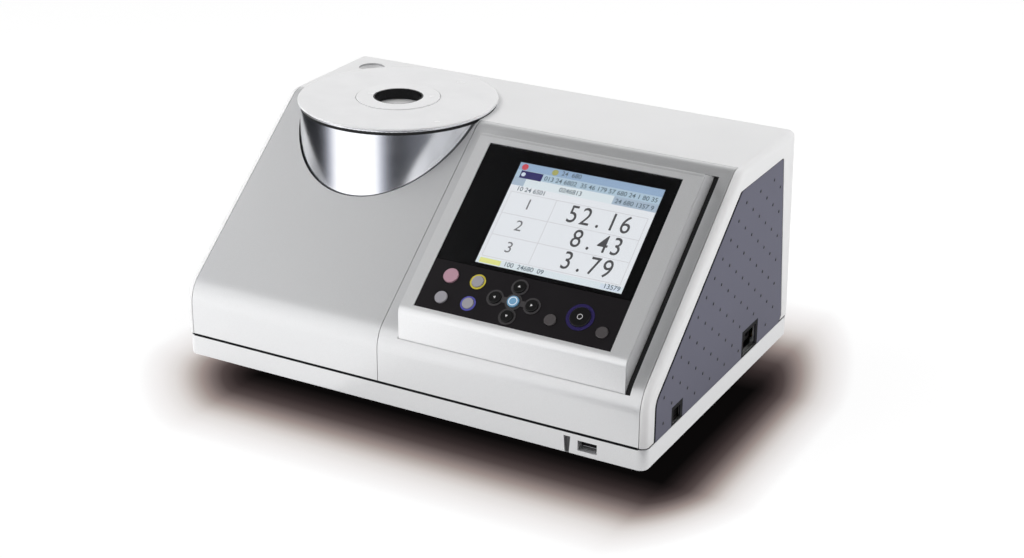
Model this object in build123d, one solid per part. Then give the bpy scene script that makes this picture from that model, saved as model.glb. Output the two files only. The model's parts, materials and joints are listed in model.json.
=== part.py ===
from build123d import *
import math
import os

# A benchtop colorimeter: a wedge-shaped instrument with a round measuring stage on a
# bright drum at the left and a raised display block with a keypad at the right.
# Millimetres. X runs to the right, Y to the back, Z up. The origin is the centre of
# the footprint, on the surface that the feet stand on.

# ---- what the overall size follows from ------------------------------------------
# The sphere sets the stage and the height, the picture panel sets the display block,
# and the body is as wide and as deep as stage and block need.
sphere_radius = 60.0
lcd_width = 115.2
lcd_height = 86.4
keypad_depth = 40.5         # keypad panel, measured up the slope
bend_height = 58.8          # where the front wall's plane meets the slope's plane

chassis_z = 12.0
chassis_thickness = 1.5
mirror_height = 16.0
mirror_space = 16.5         # from the fold mirror up to the sphere
stage_over_sphere = 14.0
stage_rise = 4.0            # stage above the flat top
stage_overhang = 17.9       # how far the stage's rim lies outside the sphere
stage_side_space = 14.4     # from the stage to the body's left side
stage_rear_space = 23.6     # from the stage to the body's back
stage_front_space = 12.3    # from the slope's upper end to the stage's centre
stage_block_space = 16.9    # from the stage across to the display block

window_left = 29.8          # black border of the window beside the picture
window_right = 10.2
window_above = 10.4
window_below = 4.2
frame_left = 10.4           # frame of the display block beside the window
frame_right = 13.8
frame_above = 6.8
keypad_low_s = 22.5         # keypad's lower edge, measured up the slope
block_side_space = 18.5     # from the block to the body's right side
block_brow_space = 17.359   # from the block's top to the slope's upper end

chassis_top = chassis_z + chassis_thickness
mirror_top = chassis_top + mirror_height
sphere_z = mirror_top + mirror_space + sphere_radius
stage_top = sphere_z + sphere_radius + stage_over_sphere
top_height = stage_top - stage_rise
stage_radius = sphere_radius + stage_overhang
window_width = window_left + lcd_width + window_right
block_width = frame_left + window_width + frame_right
glass_split = keypad_low_s + keypad_depth       # joint between display glass and keypad panel
block_top = glass_split + window_below + lcd_height + window_above + frame_above
slope_length = block_top + block_brow_space
slope_run = math.sqrt(slope_length ** 2 - (top_height - bend_height) ** 2)
top_run = stage_front_space + stage_radius + stage_rear_space
body_width = stage_side_space + 2 * stage_radius + stage_block_space + block_width + block_side_space
body_depth = slope_run + top_run

# ---- body ----------------------------------------------------------------------
foot_height = 4.4
seam_height = 21.6          # parting line between tray and housing
seam_gap = 1.4
profile_reach = 20.0        # side outline drawn on below the parting line
seal_sink = 1.0             # sealing strip set back in the parting line
seal_width = 1.2
rear_lean = 8.0             # how far the back wall leans forward at the top
bend_radius = 25.0
brow_radius = 15.0
rear_radius = 6.0
edge_radius = 5.0           # long edges along both sides

front_wall = 3.0
side_wall = 4.0
ledge = 2.4                 # thickness of the ledge under the front covers
ledge_width = 7.0
ledge_front_lap = 4.5       # how far the ledge reaches under the covers' upper ends
ledge_rear_lap = 12.0
cover_inset = 5.2           # side frame left visible beside the front covers
cover_gap = 0.5
cover_block_space = 16.3    # from the covers' joint to the display block
tongue_lap = 8.0            # tongue under the covers' joint
tongue_end = 14.0
seat_gap = 0.1              # between parts that rest on each other

half_width = body_width / 2
front_y = -body_depth / 2
rear_y = body_depth / 2
slope_back = rear_y - top_run
rear_top_y = rear_y - rear_lean
housing_bottom = seam_height + seam_gap / 2
tray_top = seam_height - seam_gap / 2
slope_angle = math.atan2(top_height - bend_height, slope_back - front_y)
slope_cos = math.cos(slope_angle)
slope_sin = math.sin(slope_angle)
brow_end = slope_back + brow_radius * math.tan(slope_angle / 2)

# ---- tray and feet -------------------------------------------------------------
tray_wall = 2.5
tray_corner = 7.0
tray_edge = 2.0
lip_wall = 1.6
lip_height = 3.4            # the tray's inner lip above its rim
foot_radius = 10.0
foot_inset_x = 26.0
foot_inset_y = 24.0
foot_recess = 1.0
post_radius = 5.0
post_inset_x = 11.7
post_inset_y = 18.5
post_height = 40.0
post_web = 3.0
tray_post_radius = 6.4      # tray's posts, grown into its lip
middle_post_x = 60.0
middle_post_y = 70.0
screw_bore_top = 22.0       # above the chassis
screw_reach = 18.0          # above the chassis
screw_slot_length = 4.6
screw_slot_width = 0.9
screw_radius = 1.9
screw_head_radius = 3.4
screw_head_height = 2.4
usb_slot_x = half_width - 44.2
usb_slot_z = 12.6
usb_slot_width = 14.8
usb_slot_height = 7.6
usb_sink = 4.8              # socket's mouth behind the tray's front
usb_length = 14.0
grip_slot_x = usb_slot_x - 15.7
grip_slot_top_width = 5.2   # notch in the tray's front, narrower towards its foot
grip_slot_low_width = 3.0
grip_slot_drop = 3.0
grip_slot_depth = 2.0

# ---- side panels ---------------------------------------------------------------
panel_border = 12.6         # frame left round the panel at the front and the slope
panel_top_border = 15.8
panel_rear_top = rear_y - 30.9
panel_rear_bottom = rear_y - 14.9
panel_chamfer = 4.0
panel_corner = 3.0
panel_thickness = 2.7
panel_recess = 0.2
panel_gap = 0.7
panel_front_gap = 3.2       # dark joint along the panel's front and its slope
pocket_floor = 1.0
port_cut_front = rear_y - 94.7      # rear cut-out for the data and power sockets
port_cut_back = port_cut_front + 30.6
port_cut_top = 42.7
switch_cut_front = front_y + 41.5   # front cut-out for the power switch
switch_cut_back = switch_cut_front + 18.6
switch_cut_top = 35.8

# ---- measuring stage -----------------------------------------------------------
stage_x = -half_width + stage_side_space + stage_radius
stage_y = slope_back + stage_front_space
stage_edge = 1.1            # thickness of the white plate at its rim
stage_rim_radius = 0.5
trim_radius = stage_radius - 0.8
trim_height = 2.2
trim_width = 3.0
trim_round = 0.9
drum_radius = stage_radius - 1.6
drum_wall = 1.6
drum_flange = 13.0
drum_gap = 1.3              # between the drum and the left front cover
drum_top_gap = 0.5          # between the drum and the top's hole
gasket_radius = drum_radius - 0.9
gasket_height = 2.2
mask_radius = 32.7
mask_groove = 0.5
mask_thickness = 1.7
mask_rise = 0.5             # mask above the stage plate
mask_round = 0.5
mask_hole_radius = 18.4
collar_wall = 1.2
collar_depth = 7.6
window_drop = 8.1           # port window below the stage's top
window_radius = 24.0
window_thickness = 1.5
plate_hub_radius = 40.0

# ---- optics inside -------------------------------------------------------------
sphere_wall = 3.0
sphere_flange = 2.0
sphere_flange_radius = sphere_radius + 6.0
deck_thickness = 3.0
deck_top = sphere_z - sphere_flange
deck_height = deck_top - deck_thickness
deck_margin = 8.7           # deck beyond the drum
deck_corner = 8.0
pillar_radius = 5.0
pillar_inset = 11.0
sample_port_radius = 20.0
lamp_port_radius = 8.0
lamp_drop = 24.0            # lamp below the deck
lamp_z = deck_height - lamp_drop
lamp_box_width = 34.0
lamp_box_length = 30.0
lamp_box_x = stage_x + sphere_radius + 3.2
lamp_wall = 2.0
lamp_radius = 4.0
barrel_radius = 10.0
barrel_wall = 3.0
barrel_tilt = 8.0
barrel_lap = 6.0            # how far the barrel reaches into the sphere
barrel_clearance = 1.5
mirror_size = 30.0
relay_radius = 6.0
relay_wall = 1.2
relay_z = chassis_top + mirror_height / 2
spectrometer_x = lamp_box_x + lamp_box_length + 2.0
spectrometer_y = stage_y
spectrometer_length = 95.0
spectrometer_width = 76.0
spectrometer_height = 40.0
spectrometer_wall = 3.0
spectrometer_lid_height = 3.0

# ---- chassis and boards --------------------------------------------------------
chassis_margin = 8.0
board_z = 25.0
board_thickness = 1.6
standoff_radius = 3.5
board_margin = 6.0          # fixing holes from the board's edges
main_board_x0 = spectrometer_x + spectrometer_length + 5.0
main_board_x1 = half_width - 10.5
main_board_y0 = front_y + 68.5
main_board_y1 = rear_y - 30.5
power_board_x0 = spectrometer_x
power_board_x1 = main_board_x0 - 7.0
power_board_y0 = spectrometer_y + spectrometer_width / 2 + 7.0
power_board_y1 = rear_y - 18.5
# chips on the main board: (from its left, from its front, width, depth, height)
chips = (
    (23.0, 42.0, 24.0, 24.0, 2.4),
    (17.0, 92.0, 20.0, 14.0, 1.8),
    (51.0, 18.0, 14.0, 14.0, 1.8),
    (9.0, 122.0, 6.0, 24.0, 8.0),
)
coil_x = 57.0               # transformer, from the left of the power board
coil_y = 8.0
coil_size = 22.0
coil_height = 18.0
capacitor_x = 23.0
capacitor_radius = 15.0
capacitor_height = 42.0
socket_face_x = half_width - 5.9
usb_b_width = 12.0
usb_b_height = 11.0
usb_b_length = 16.0
usb_b_y = port_cut_front + 8.7
jack_width = 9.5
jack_height = 11.0
jack_length = 14.0
jack_y = port_cut_front + 23.0
jack_bore = 3.1
jack_pin = 1.0
switch_body_length = 17.0
switch_margin = 0.4
switch_rim = 1.8
rocker_tilt = 8.0
rocker_clearance = 0.3

# ---- display block (x across, s up the slope, n out of the slope) ----------------
block_x0 = stage_x + stage_radius + stage_block_space
block_x1 = block_x0 + block_width
block_front = front_y + 3.5
block_rise = 16.0
block_depth = 5.2           # how far the block reaches inside the slope's plane
block_end_lean = 0.544      # lean of the top end, along the slope for each mm of height
block_bend = 8.0
block_gap = 0.5
block_right_gap = 4.0       # the wider joint at the right, filled by a rubber strip
strip_sink = 1.2            # rubber strip below the cover's surface
flange_low_s = 34.0
flange_width = 5.0
flange_thickness = 2.0
bezel_skin = 1.2
bezel_groove = 1.0
groove_depth = 1.2
block_lip = 2.0
lip_round = 1.2
block_wall = 2.5
glass_x0 = block_x0 + frame_left
glass_x1 = glass_x0 + window_width
glass_s0 = keypad_low_s
glass_s1 = block_top - frame_above
glass_clearance = 0.3
glass_sink = 0.2
glass_thickness = 1.4
mask_sheet = 0.5
mask_sheet_lap = 1.5
lcd_x = glass_x0 + window_left + lcd_width / 2
lcd_s = glass_split + window_below + lcd_height / 2
lcd_frame_x = 7.9
lcd_frame_s = 6.0
lcd_thickness = 6.2
lcd_view_margin = 0.6

# ---- keys ----------------------------------------------------------------------
keypad_thickness = 1.8
keypad_board_n = 5.4
keypad_post_radius = 2.5
keypad_post_inset = 6.0
dome_height = 1.4
dome_radius = 3.0
key_travel = 0.8
key_slack = 0.1
key_proud = 1.2
key_clearance = 0.3
key_flange = 0.9
key_flange_height = 0.9
key_crown = 0.4
key_stem_radius = 1.8
ring_height = 0.4
pad_place = (0.4652, 0.489)
pad_pitch_x = 14.6
pad_pitch_s = 12.0
pad_lobe_radius = 6.4
pad_height = 0.5
pad_arm = 4.4               # width of the arms between the lobes
ring_clearance = 0.25
measure_ring_width = 2.5
colour_ring_width = 1.2

# name: (share of the keypad's width, share of its depth, cap radius)
key_places = {
    "calibrate_key": (0.1147, 0.716, 5.7),
    "target_key": (0.2558, 0.7136, 4.5),
    "menu_key": (0.1147, 0.269, 4.7),
    "page_key": (0.2558, 0.269, 4.3),
    "up_key": (*pad_place, 4.6),
    "left_key": (*pad_place, 4.6),
    "right_key": (*pad_place, 4.6),
    "down_key": (*pad_place, 4.6),
    "select_key": (*pad_place, 4.4),
    "back_key": (0.6701, 0.3136, 4.4),
    "measure_key": (0.8009, 0.4914, 7.6),
    "print_key": (0.9278, 0.3037, 4.4),
}
# arrow keys: (steps to the right, steps up the slope) from the middle key
pad_steps = {"up_key": (0, 1), "left_key": (-1, 0), "right_key": (1, 0), "down_key": (0, -1)}
keys = {}
for name, (share_x, share_s, radius) in key_places.items():
    step_x, step_s = pad_steps.get(name, (0, 0))
    key_x = glass_x0 + share_x * window_width + step_x * pad_pitch_x
    key_s = glass_s0 + share_s * keypad_depth + step_s * pad_pitch_s
    keys[name] = (key_x, key_s, radius)
# key with a coloured ring: (node of the ring, width of the ring)
ringed_keys = {
    "target_key": ("yellow_key_ring", colour_ring_width),
    "page_key": ("blue_key_ring", colour_ring_width),
    "measure_key": ("measure_key_ring", measure_ring_width),
}
pad_keys = (*pad_steps, "select_key")
pad_x, pad_s = keys["select_key"][:2]

# ---- finger notch in the top, behind the stage -----------------------------------
notch_x = -half_width + 25.7
notch_y = rear_y - 35.5
notch_radius = 10.5
notch_depth = 5.6
notch_wall = 2.0

slope_plane = Plane(
    origin=(0, front_y, bend_height),
    x_dir=(1, 0, 0),
    z_dir=(0, -slope_sin, slope_cos),
)


# ---- helpers -------------------------------------------------------------------
def block(x0, x1, y0, y1, z0, z1):
    centre = Pos((x0 + x1) / 2, (y0 + y1) / 2, (z0 + z1) / 2)
    return centre * Box(x1 - x0, y1 - y0, z1 - z0)


def rod(x, y, z0, z1, radius):
    return Pos(x, y, (z0 + z1) / 2) * Cylinder(radius, z1 - z0)


def slope_block(x0, x1, s0, s1, n0, n1):
    centre = Pos((x0 + x1) / 2, (s0 + s1) / 2, (n0 + n1) / 2)
    return slope_plane * centre * Box(x1 - x0, s1 - s0, n1 - n0)


def slope_rod(x, s, n0, n1, radius):
    return slope_plane * Pos(x, s, (n0 + n1) / 2) * Cylinder(radius, n1 - n0)


def slope_point(s, n):
    return (
        front_y + s * slope_cos - n * slope_sin,
        bend_height + s * slope_sin + n * slope_cos,
    )


def height_at(y, n):
    """Height of the plane parallel to the slope, n outside it, at depth y."""
    return bend_height + (n + slope_sin * (y - front_y)) / slope_cos


def rear_y_at(z):
    lean = rear_lean / (top_height - housing_bottom)
    return rear_y - lean * (z - housing_bottom)


def nearest_vertex(face, point):
    return face.vertices().sort_by_distance(point)[0]


def side_profile(inset=0.0):
    """The body's outline from the side, drawn in from the outer skin by inset."""
    low = seam_height - profile_reach
    corners = [
        (front_y, low),
        (front_y, bend_height),
        (slope_back, top_height),
        (rear_top_y, top_height),
        (rear_y_at(low), low),
    ]
    face = make_face(Polyline(*corners, close=True))
    rounds = ((1, bend_radius), (2, brow_radius), (3, rear_radius))
    for corner, radius in rounds:
        face = fillet(nearest_vertex(face, corners[corner]), radius)
    if inset:
        face = offset(face, -inset)
    return face


def across(face, x0, x1):
    """A side outline swept straight across from x0 to x1."""
    return Pos(x0, 0, 0) * extrude(Plane.YZ * face, x1 - x0)


def above(part, z):
    return part & block(-body_width, body_width, -body_depth, body_depth, z, 2 * top_height)


# ---- housing -------------------------------------------------------------------
def outer_form():
    form = across(side_profile(), -half_width, half_width)
    ends = form.edges().filter_by(lambda e: abs(e.center().X) > half_width - 0.01)
    long_edges = ends.filter_by(lambda e: e.center().Z > seam_height)
    return above(fillet(long_edges, edge_radius), housing_bottom)


def cover_zone(gap):
    """Space of the two front covers, between the side frames and below the brow."""
    reach = half_width - cover_inset - gap
    return block(-reach, reach, front_y - 10, brow_end - gap, 0, 2 * top_height)


def body_shell():
    hollow = across(side_profile(front_wall), -half_width + side_wall, half_width - side_wall)
    return outer_form() - hollow


def inner_ledge():
    """Curved ledge round the front opening, on which the covers are screwed."""
    reach = half_width - side_wall
    ring = across(side_profile(front_wall), -reach, reach)
    ring -= across(side_profile(front_wall + ledge), -reach, reach)
    ring = above(ring, tray_top + lip_height + cover_gap)
    middle = reach - ledge_width
    strips = ring - block(-middle, middle, front_y, rear_y, 0, 2 * top_height)
    brow_low = brow_end - ledge_front_lap
    brow_high = brow_end + ledge_rear_lap
    brow = ring & block(-reach, reach, brow_low, brow_high, bend_height, 2 * top_height)
    front = strips & block(-reach, reach, front_y, brow_high, 0, 2 * top_height)
    return front + brow


def panel_outline(border_gap, front_gap):
    """Side panel outline, drawn in by the gap from its pocket."""
    inset = panel_border + front_gap
    front = front_y + panel_border + front_gap
    top = top_height - panel_top_border - border_gap
    rear_top = panel_rear_top - border_gap
    rear_bottom = panel_rear_bottom - border_gap
    low = tray_top + seat_gap
    bend_z = height_at(front, -inset)
    brow_y = front_y + (slope_cos * (top - bend_height) + inset) / slope_sin
    corners = [
        (front, low),
        (front, bend_z),
        (brow_y, top),
        (rear_top, top),
        (rear_bottom, low + panel_chamfer),
        (rear_bottom - panel_chamfer, low),
    ]
    face = make_face(Polyline(*corners, close=True))
    rounds = ((1, bend_radius - inset), (2, panel_corner), (3, panel_corner))
    for corner, radius in rounds:
        face = fillet(nearest_vertex(face, corners[corner]), radius)
    return face


def panel_pocket(side):
    outline = panel_outline(0, 0)
    depth = side_wall - pocket_floor
    x0 = half_width - depth
    pocket = across(outline, x0, half_width + 10)
    return pocket if side > 0 else mirror(pocket, Plane.YZ)


def socket_cuts():
    """Openings through the right wall for the sockets and the power switch."""
    low = tray_top - 1
    x0 = half_width - side_wall - 3
    x1 = half_width + 3
    sockets = block(x0, x1, port_cut_front, port_cut_back, low, port_cut_top)
    switch = block(x0, x1, switch_cut_front, switch_cut_back, low, switch_cut_top)
    return sockets + switch


def post_places():
    x = half_width - post_inset_x
    for sx in (-1, 1):
        yield sx * x, front_y + post_inset_y
        yield sx * x, rear_y - post_inset_y


def screw_posts():
    """Posts that stand on the chassis and take the screws through the tray."""
    posts = Part()
    low = chassis_top + seat_gap
    web_low = tray_top + lip_height + cover_gap
    for x, y in post_places():
        wall_x = math.copysign(half_width - side_wall + pocket_floor / 2, x)
        inner, outer = sorted((x, wall_x))
        posts += rod(x, y, low, low + post_height, post_radius)
        posts += block(inner, outer, y - post_web / 2, y + post_web / 2, web_low, low + post_height)
    return posts


def screw_bores(radius):
    bores = Part()
    for x, y in post_places():
        bores += rod(x, y, 0, chassis_z + screw_bore_top, radius)
    return bores


def finger_notch(wall):
    """Rounded scoop that a fingertip pushes into; wall grows it to its cup."""
    deep = notch_depth + wall
    scoop = rod(notch_x, notch_y, top_height - deep, top_height + 20 * (wall == 0), notch_radius + wall)
    floor = top_height - deep
    low_edges = scoop.edges().filter_by(GeomType.CIRCLE).filter_by(lambda e: e.center().Z < floor + 0.1)
    return fillet(low_edges, notch_depth - 1)


def upper_housing():
    shell = body_shell()
    frame = shell - cover_zone(0)
    frame += inner_ledge()
    frame += screw_posts()
    frame += finger_notch(notch_wall) & rod(notch_x, notch_y, 0, top_height - 1, 30)
    frame -= finger_notch(0)
    frame -= panel_pocket(1)
    frame -= panel_pocket(-1)
    frame -= socket_cuts()
    frame -= screw_bores(screw_radius + seat_gap)
    frame -= rod(stage_x, stage_y, deck_height, 2 * top_height, drum_radius + drum_top_gap)
    return frame


def cover_skin():
    skin = outer_form() - across(side_profile(front_wall - seat_gap), -half_width, half_width)
    return skin & cover_zone(cover_gap)


def left_front_cover():
    edge = block_x0 - cover_block_space - cover_gap / 2
    skin = cover_skin() & block(-half_width, edge, front_y, rear_y, 0, 2 * top_height)
    x0, x1 = edge - tongue_lap, edge + tongue_lap + 1
    tongue = across(side_profile(front_wall - seat_gap), x0, x1)
    tongue -= across(side_profile(front_wall + ledge), x0, x1)
    tongue = above(tongue, housing_bottom + 4)
    tongue &= block(-half_width, half_width, front_y, brow_end - tongue_end, 0, 2 * top_height)
    cover = skin + tongue
    cover -= rod(stage_x, stage_y, deck_height, 2 * top_height, drum_radius + drum_gap)
    return cover


def right_front_cover():
    edge = block_x0 - cover_block_space + cover_gap / 2
    skin = cover_skin() & block(edge, half_width, front_y, rear_y, 0, 2 * top_height)
    skin -= across(side_profile(front_wall), edge - 1, edge + tongue_lap + 2)
    opening = display_form(-block_gap, -block_gap, block_depth + 8)
    hole = across(opening, block_x0 - block_gap, block_x1 + block_right_gap)
    return skin - hole - rod(stage_x, stage_y, deck_height, 2 * top_height, drum_radius + drum_gap)


def side_panel(side):
    outer = half_width - panel_recess
    panel = across(panel_outline(panel_gap, panel_front_gap), outer - panel_thickness, outer)
    if side > 0:
        return panel - socket_cuts()
    return mirror(panel, Plane.YZ)


# ---- tray ----------------------------------------------------------------------
def plan(inset, z0, z1, radius):
    outline = RectangleRounded(body_width - 2 * inset, body_depth - 2 * inset, radius)
    return Pos(0, 0, z0) * extrude(outline, z1 - z0)


def foot_places():
    x = half_width - foot_inset_x
    y = rear_y - foot_inset_y
    return [(-x, -y), (x, -y), (x, y), (-x, y)]


def grip_notch():
    high = tray_top - grip_slot_drop
    low = foot_height - 1
    corners = [
        (grip_slot_x - grip_slot_low_width / 2, low),
        (grip_slot_x + grip_slot_low_width / 2, low),
        (grip_slot_x + grip_slot_top_width / 2, high),
        (grip_slot_x - grip_slot_top_width / 2, high),
    ]
    face = Plane.XZ * make_face(Polyline(*corners, close=True))
    return Pos(0, front_y + grip_slot_depth, 0) * extrude(face, grip_slot_depth + 1)


def bottom_tray():
    solid = plan(0, foot_height, tray_top, tray_corner)
    rim = solid.edges().filter_by(lambda e: abs(e.center().Z - foot_height) < 0.01)
    tray = fillet(rim, tray_edge)
    lip_inset = side_wall + seat_gap
    lip = plan(lip_inset, foot_height + tray_wall, tray_top + lip_height, tray_corner - 3)
    lip -= plan(lip_inset + lip_wall, foot_height, tray_top + lip_height + 1, tray_corner - 3.5)
    hollow = plan(tray_wall, foot_height + tray_wall, tray_top + 1, tray_corner - tray_wall)
    tray = tray - hollow + (lip & plan(0, foot_height, 60, tray_corner))
    for x, y in post_places():
        tray += rod(x, y, foot_height + tray_wall, chassis_z - seat_gap, tray_post_radius)
    for x in (-middle_post_x, middle_post_x):
        for y in (-middle_post_y, middle_post_y):
            tray += rod(x, y, foot_height + tray_wall, chassis_z - seat_gap, post_radius)
    for x, y in foot_places():
        tray -= rod(x, y, foot_height - 1, foot_height + foot_recess, foot_radius + seat_gap)
    tray -= block(
        usb_slot_x - usb_slot_width / 2, usb_slot_x + usb_slot_width / 2,
        front_y - 1, front_y + 12,
        usb_slot_z - usb_slot_height / 2, usb_slot_z + usb_slot_height / 2,
    )
    tray -= grip_notch()
    tray -= screw_bores(screw_radius + seat_gap)
    for x, y in post_places():
        tray -= rod(x, y, 0, foot_height + screw_head_height + 0.6, screw_head_radius + 0.3)
    return tray - above(socket_cuts(), tray_top)


def seam_seal():
    """Black sealing strips in the parting line, round the front and round the back."""
    low = tray_top + seat_gap
    high = housing_bottom - seat_gap
    inner = seal_sink + seal_width
    strip = plan(seal_sink, low, high, tray_corner - seal_sink)
    strip -= plan(inner, low - 1, high + 1, tray_corner - inner)
    y0 = front_y + panel_border - cover_gap
    y1 = panel_rear_bottom + cover_gap
    return strip - block(-body_width, body_width, y0, y1, 0, top_height)


def tray_screws():
    screws = Part()
    head_low = foot_height + 0.6
    for x, y in post_places():
        head = rod(x, y, head_low, head_low + screw_head_height, screw_head_radius)
        screws += head + rod(x, y, head_low, chassis_z + screw_reach, screw_radius)
        for turn in (0, 90):
            slot = Box(screw_slot_length, screw_slot_width, 2)
            screws -= Pos(x, y, head_low) * Rot(0, 0, turn) * slot
    return screws


def rubber_feet():
    feet = Part()
    for x, y in foot_places():
        foot = rod(x, y, 0, foot_height + foot_recess - seat_gap, foot_radius)
        low = foot.edges().filter_by(GeomType.CIRCLE).sort_by(Axis.Z)[0]
        feet += fillet(low, 1.0)
    return feet


# ---- chassis and electronics ---------------------------------------------------
def chassis_plate():
    inset = tray_wall + chassis_margin
    plate = plan(inset, chassis_z, chassis_z + chassis_thickness, tray_corner)
    for x, y in post_places():
        plate -= rod(x, y, 0, 40, screw_radius + 0.4)
    slot_low = usb_slot_x - usb_slot_width
    slot_high = usb_slot_x + usb_slot_width
    return plate - block(slot_low, slot_high, front_y, front_y + 24, 0, 40)


def board(x0, x1, y0, y1):
    plate = block(x0, x1, y0, y1, board_z, board_z + board_thickness)
    return fillet(plate.edges().filter_by(Axis.Z), 2.0)


def board_fixings(x0, x1, y0, y1):
    xs = (x0 + board_margin, x1 - board_margin)
    ys = (y0 + board_margin, y1 - board_margin)
    return [(x, y) for x in xs for y in ys]


def main_board():
    plate = board(main_board_x0, main_board_x1, main_board_y0, main_board_y1)
    top = board_z + board_thickness
    for x, y, width, depth, height in chips:
        x0, y0 = main_board_x0 + x, main_board_y0 + y
        plate += block(x0, x0 + width, y0, y0 + depth, top, top + height)
    return plate


def power_board():
    plate = board(power_board_x0, power_board_x1, power_board_y0, power_board_y1)
    top = board_z + board_thickness
    x0, y0 = power_board_x0 + coil_x, power_board_y0 + coil_y
    coil = block(x0, x0 + coil_size, y0, y0 + coil_size, top, top + coil_height)
    return plate + fillet(coil.edges().filter_by(Axis.Z), 3.0)


def board_standoffs():
    posts = Part()
    low = chassis_top
    places = board_fixings(main_board_x0, main_board_x1, main_board_y0, main_board_y1)
    places += board_fixings(power_board_x0, power_board_x1, power_board_y0, power_board_y1)
    for x, y in places:
        sides = RegularPolygon(standoff_radius, 6)
        posts += Pos(x, y, low) * extrude(sides, board_z - low)
    return posts


def flash_capacitor():
    top = board_z + board_thickness
    centre_y = (power_board_y0 + power_board_y1) / 2
    x = power_board_x0 + capacitor_x
    can = rod(x, centre_y, top, top + capacitor_height, capacitor_radius)
    upper = can.edges().filter_by(GeomType.CIRCLE).sort_by(Axis.Z)[-1]
    return fillet(upper, 1.5)


def usb_a_socket():
    face_y = front_y + usb_sink
    back_y = face_y + usb_length
    width = usb_slot_width - 1.0
    height = usb_slot_height - 1.0
    x0, x1 = usb_slot_x - width / 2, usb_slot_x + width / 2
    z0, z1 = usb_slot_z - height / 2, usb_slot_z + height / 2
    wall = 0.5
    shell = block(x0, x1, face_y, back_y, z0, z1)
    shell -= block(x0 + wall, x1 - wall, face_y - 1, back_y - 2, z0 + wall, z1 - wall)
    tongue = block(x0 + 1.2, x1 - 1.2, face_y + 0.6, back_y - 1.5, z0 + 1.0, z0 + 2.9)
    foot = block(x0 - 2, x1 + 2, face_y + 4, back_y, foot_height + tray_wall, z0 + 0.2)
    return shell + tongue + foot


def usb_b_socket():
    top = board_z + board_thickness
    x0, x1 = socket_face_x - usb_b_length, socket_face_x
    y0, y1 = usb_b_y - usb_b_width / 2, usb_b_y + usb_b_width / 2
    shell = block(x0, x1, y0, y1, top, top + usb_b_height)
    upper = shell.edges().filter_by(Axis.X).group_by(Axis.Z)[-1]
    shell = chamfer(upper, 2.2)
    inner_y0, inner_y1 = y0 + 1.4, y1 - 1.4
    cavity = block(x0 + 3, x1 + 1, inner_y0, inner_y1, top + 1.4, top + usb_b_height - 1.2)
    inner_upper = cavity.edges().filter_by(Axis.X).group_by(Axis.Z)[-1]
    cavity = chamfer(inner_upper, 1.6)
    tongue = block(x0 + 2.5, x1 - 1.0, usb_b_y - 2.8, usb_b_y + 2.8, top + 3.9, top + 7.0)
    return shell - cavity + tongue


def dc_jack():
    top = board_z + board_thickness
    x0, x1 = socket_face_x - jack_length, socket_face_x
    y0, y1 = jack_y - jack_width / 2, jack_y + jack_width / 2
    body = block(x0, x1, y0, y1, top, top + jack_height)
    centre_z = top + jack_height / 2
    along = Location((x1 - 4.5, jack_y, centre_z), (0, 90, 0))
    body -= along * Cylinder(jack_bore, 11)
    return body + Location((x1 - 6, jack_y, centre_z), (0, 90, 0)) * Cylinder(jack_pin, 9)


def switch_frame():
    """Outer box of the power switch, which snaps into the front cut-out."""
    y0 = switch_cut_front + switch_margin
    y1 = switch_cut_back - switch_margin
    z0 = tray_top + 0.4
    z1 = switch_cut_top - switch_margin
    return y0, y1, z0, z1


def rocker_axis():
    y0, y1, z0, z1 = switch_frame()
    return half_width - side_wall - 3.0, (z0 + z1) / 2


def switch_body():
    y0, y1, z0, z1 = switch_frame()
    x1 = half_width - side_wall + 1.0
    x0 = x1 - switch_body_length
    body = block(x0, x1, y0, y1, z0, z1)
    well = block(x1 - 9, x1 + 1, y0 + switch_rim, y1 - switch_rim, z0 + switch_rim, z1 - switch_rim)
    return body - well


def rocker_profile():
    """Rocker seen from its end: two flats that meet at its middle, on a round heel."""
    y0, y1, z0, z1 = switch_frame()
    reach = (z1 - z0) / 2 - switch_rim - rocker_clearance
    rise = 3.4
    drop = reach * math.tan(math.radians(rocker_tilt))
    corners = [
        (-2.0, -reach * 0.62),
        (rise + drop, -reach * 0.88),
        (rise, 0),
        (rise + drop, reach * 0.88),
        (-2.0, reach * 0.62),
    ]
    return make_face(Polyline(*corners, close=True))


def switch_rocker():
    y0, y1, z0, z1 = switch_frame()
    width = y1 - y0 - 2 * (switch_rim + rocker_clearance)
    axis_x, axis_z = rocker_axis()
    middle = (y0 + y1) / 2
    turned = Rot(0, rocker_tilt, 0)
    bar = extrude(Plane.XZ * rocker_profile(), width / 2, both=True)
    return Pos(axis_x, middle, axis_z) * turned * bar


# ---- optics --------------------------------------------------------------------
def deck_outline():
    """Sides of the deck: under the drum, and at the front just behind the slope."""
    reach = drum_radius + deck_margin
    inside = front_wall + ledge + 1.0
    rise = (deck_top - bend_height) * slope_cos
    y0 = front_y + (rise + inside) / slope_sin + 0.5
    return stage_x - reach, stage_x + reach, y0, stage_y + reach


def optical_deck():
    """Deck on four pillars, which carries the drum and the sphere."""
    x0, x1, y0, y1 = deck_outline()
    plate = block(x0, x1, y0, y1, deck_height, deck_top)
    plate = fillet(plate.edges().filter_by(Axis.Z), deck_corner)
    for x in (x0 + pillar_inset, x1 - pillar_inset):
        for y in (y0 + pillar_inset, y1 - pillar_inset):
            plate += rod(x, y, chassis_top, deck_height + 1, pillar_radius)
    return plate - rod(stage_x, stage_y, 0, 2 * top_height, sphere_radius + seat_gap)


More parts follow.
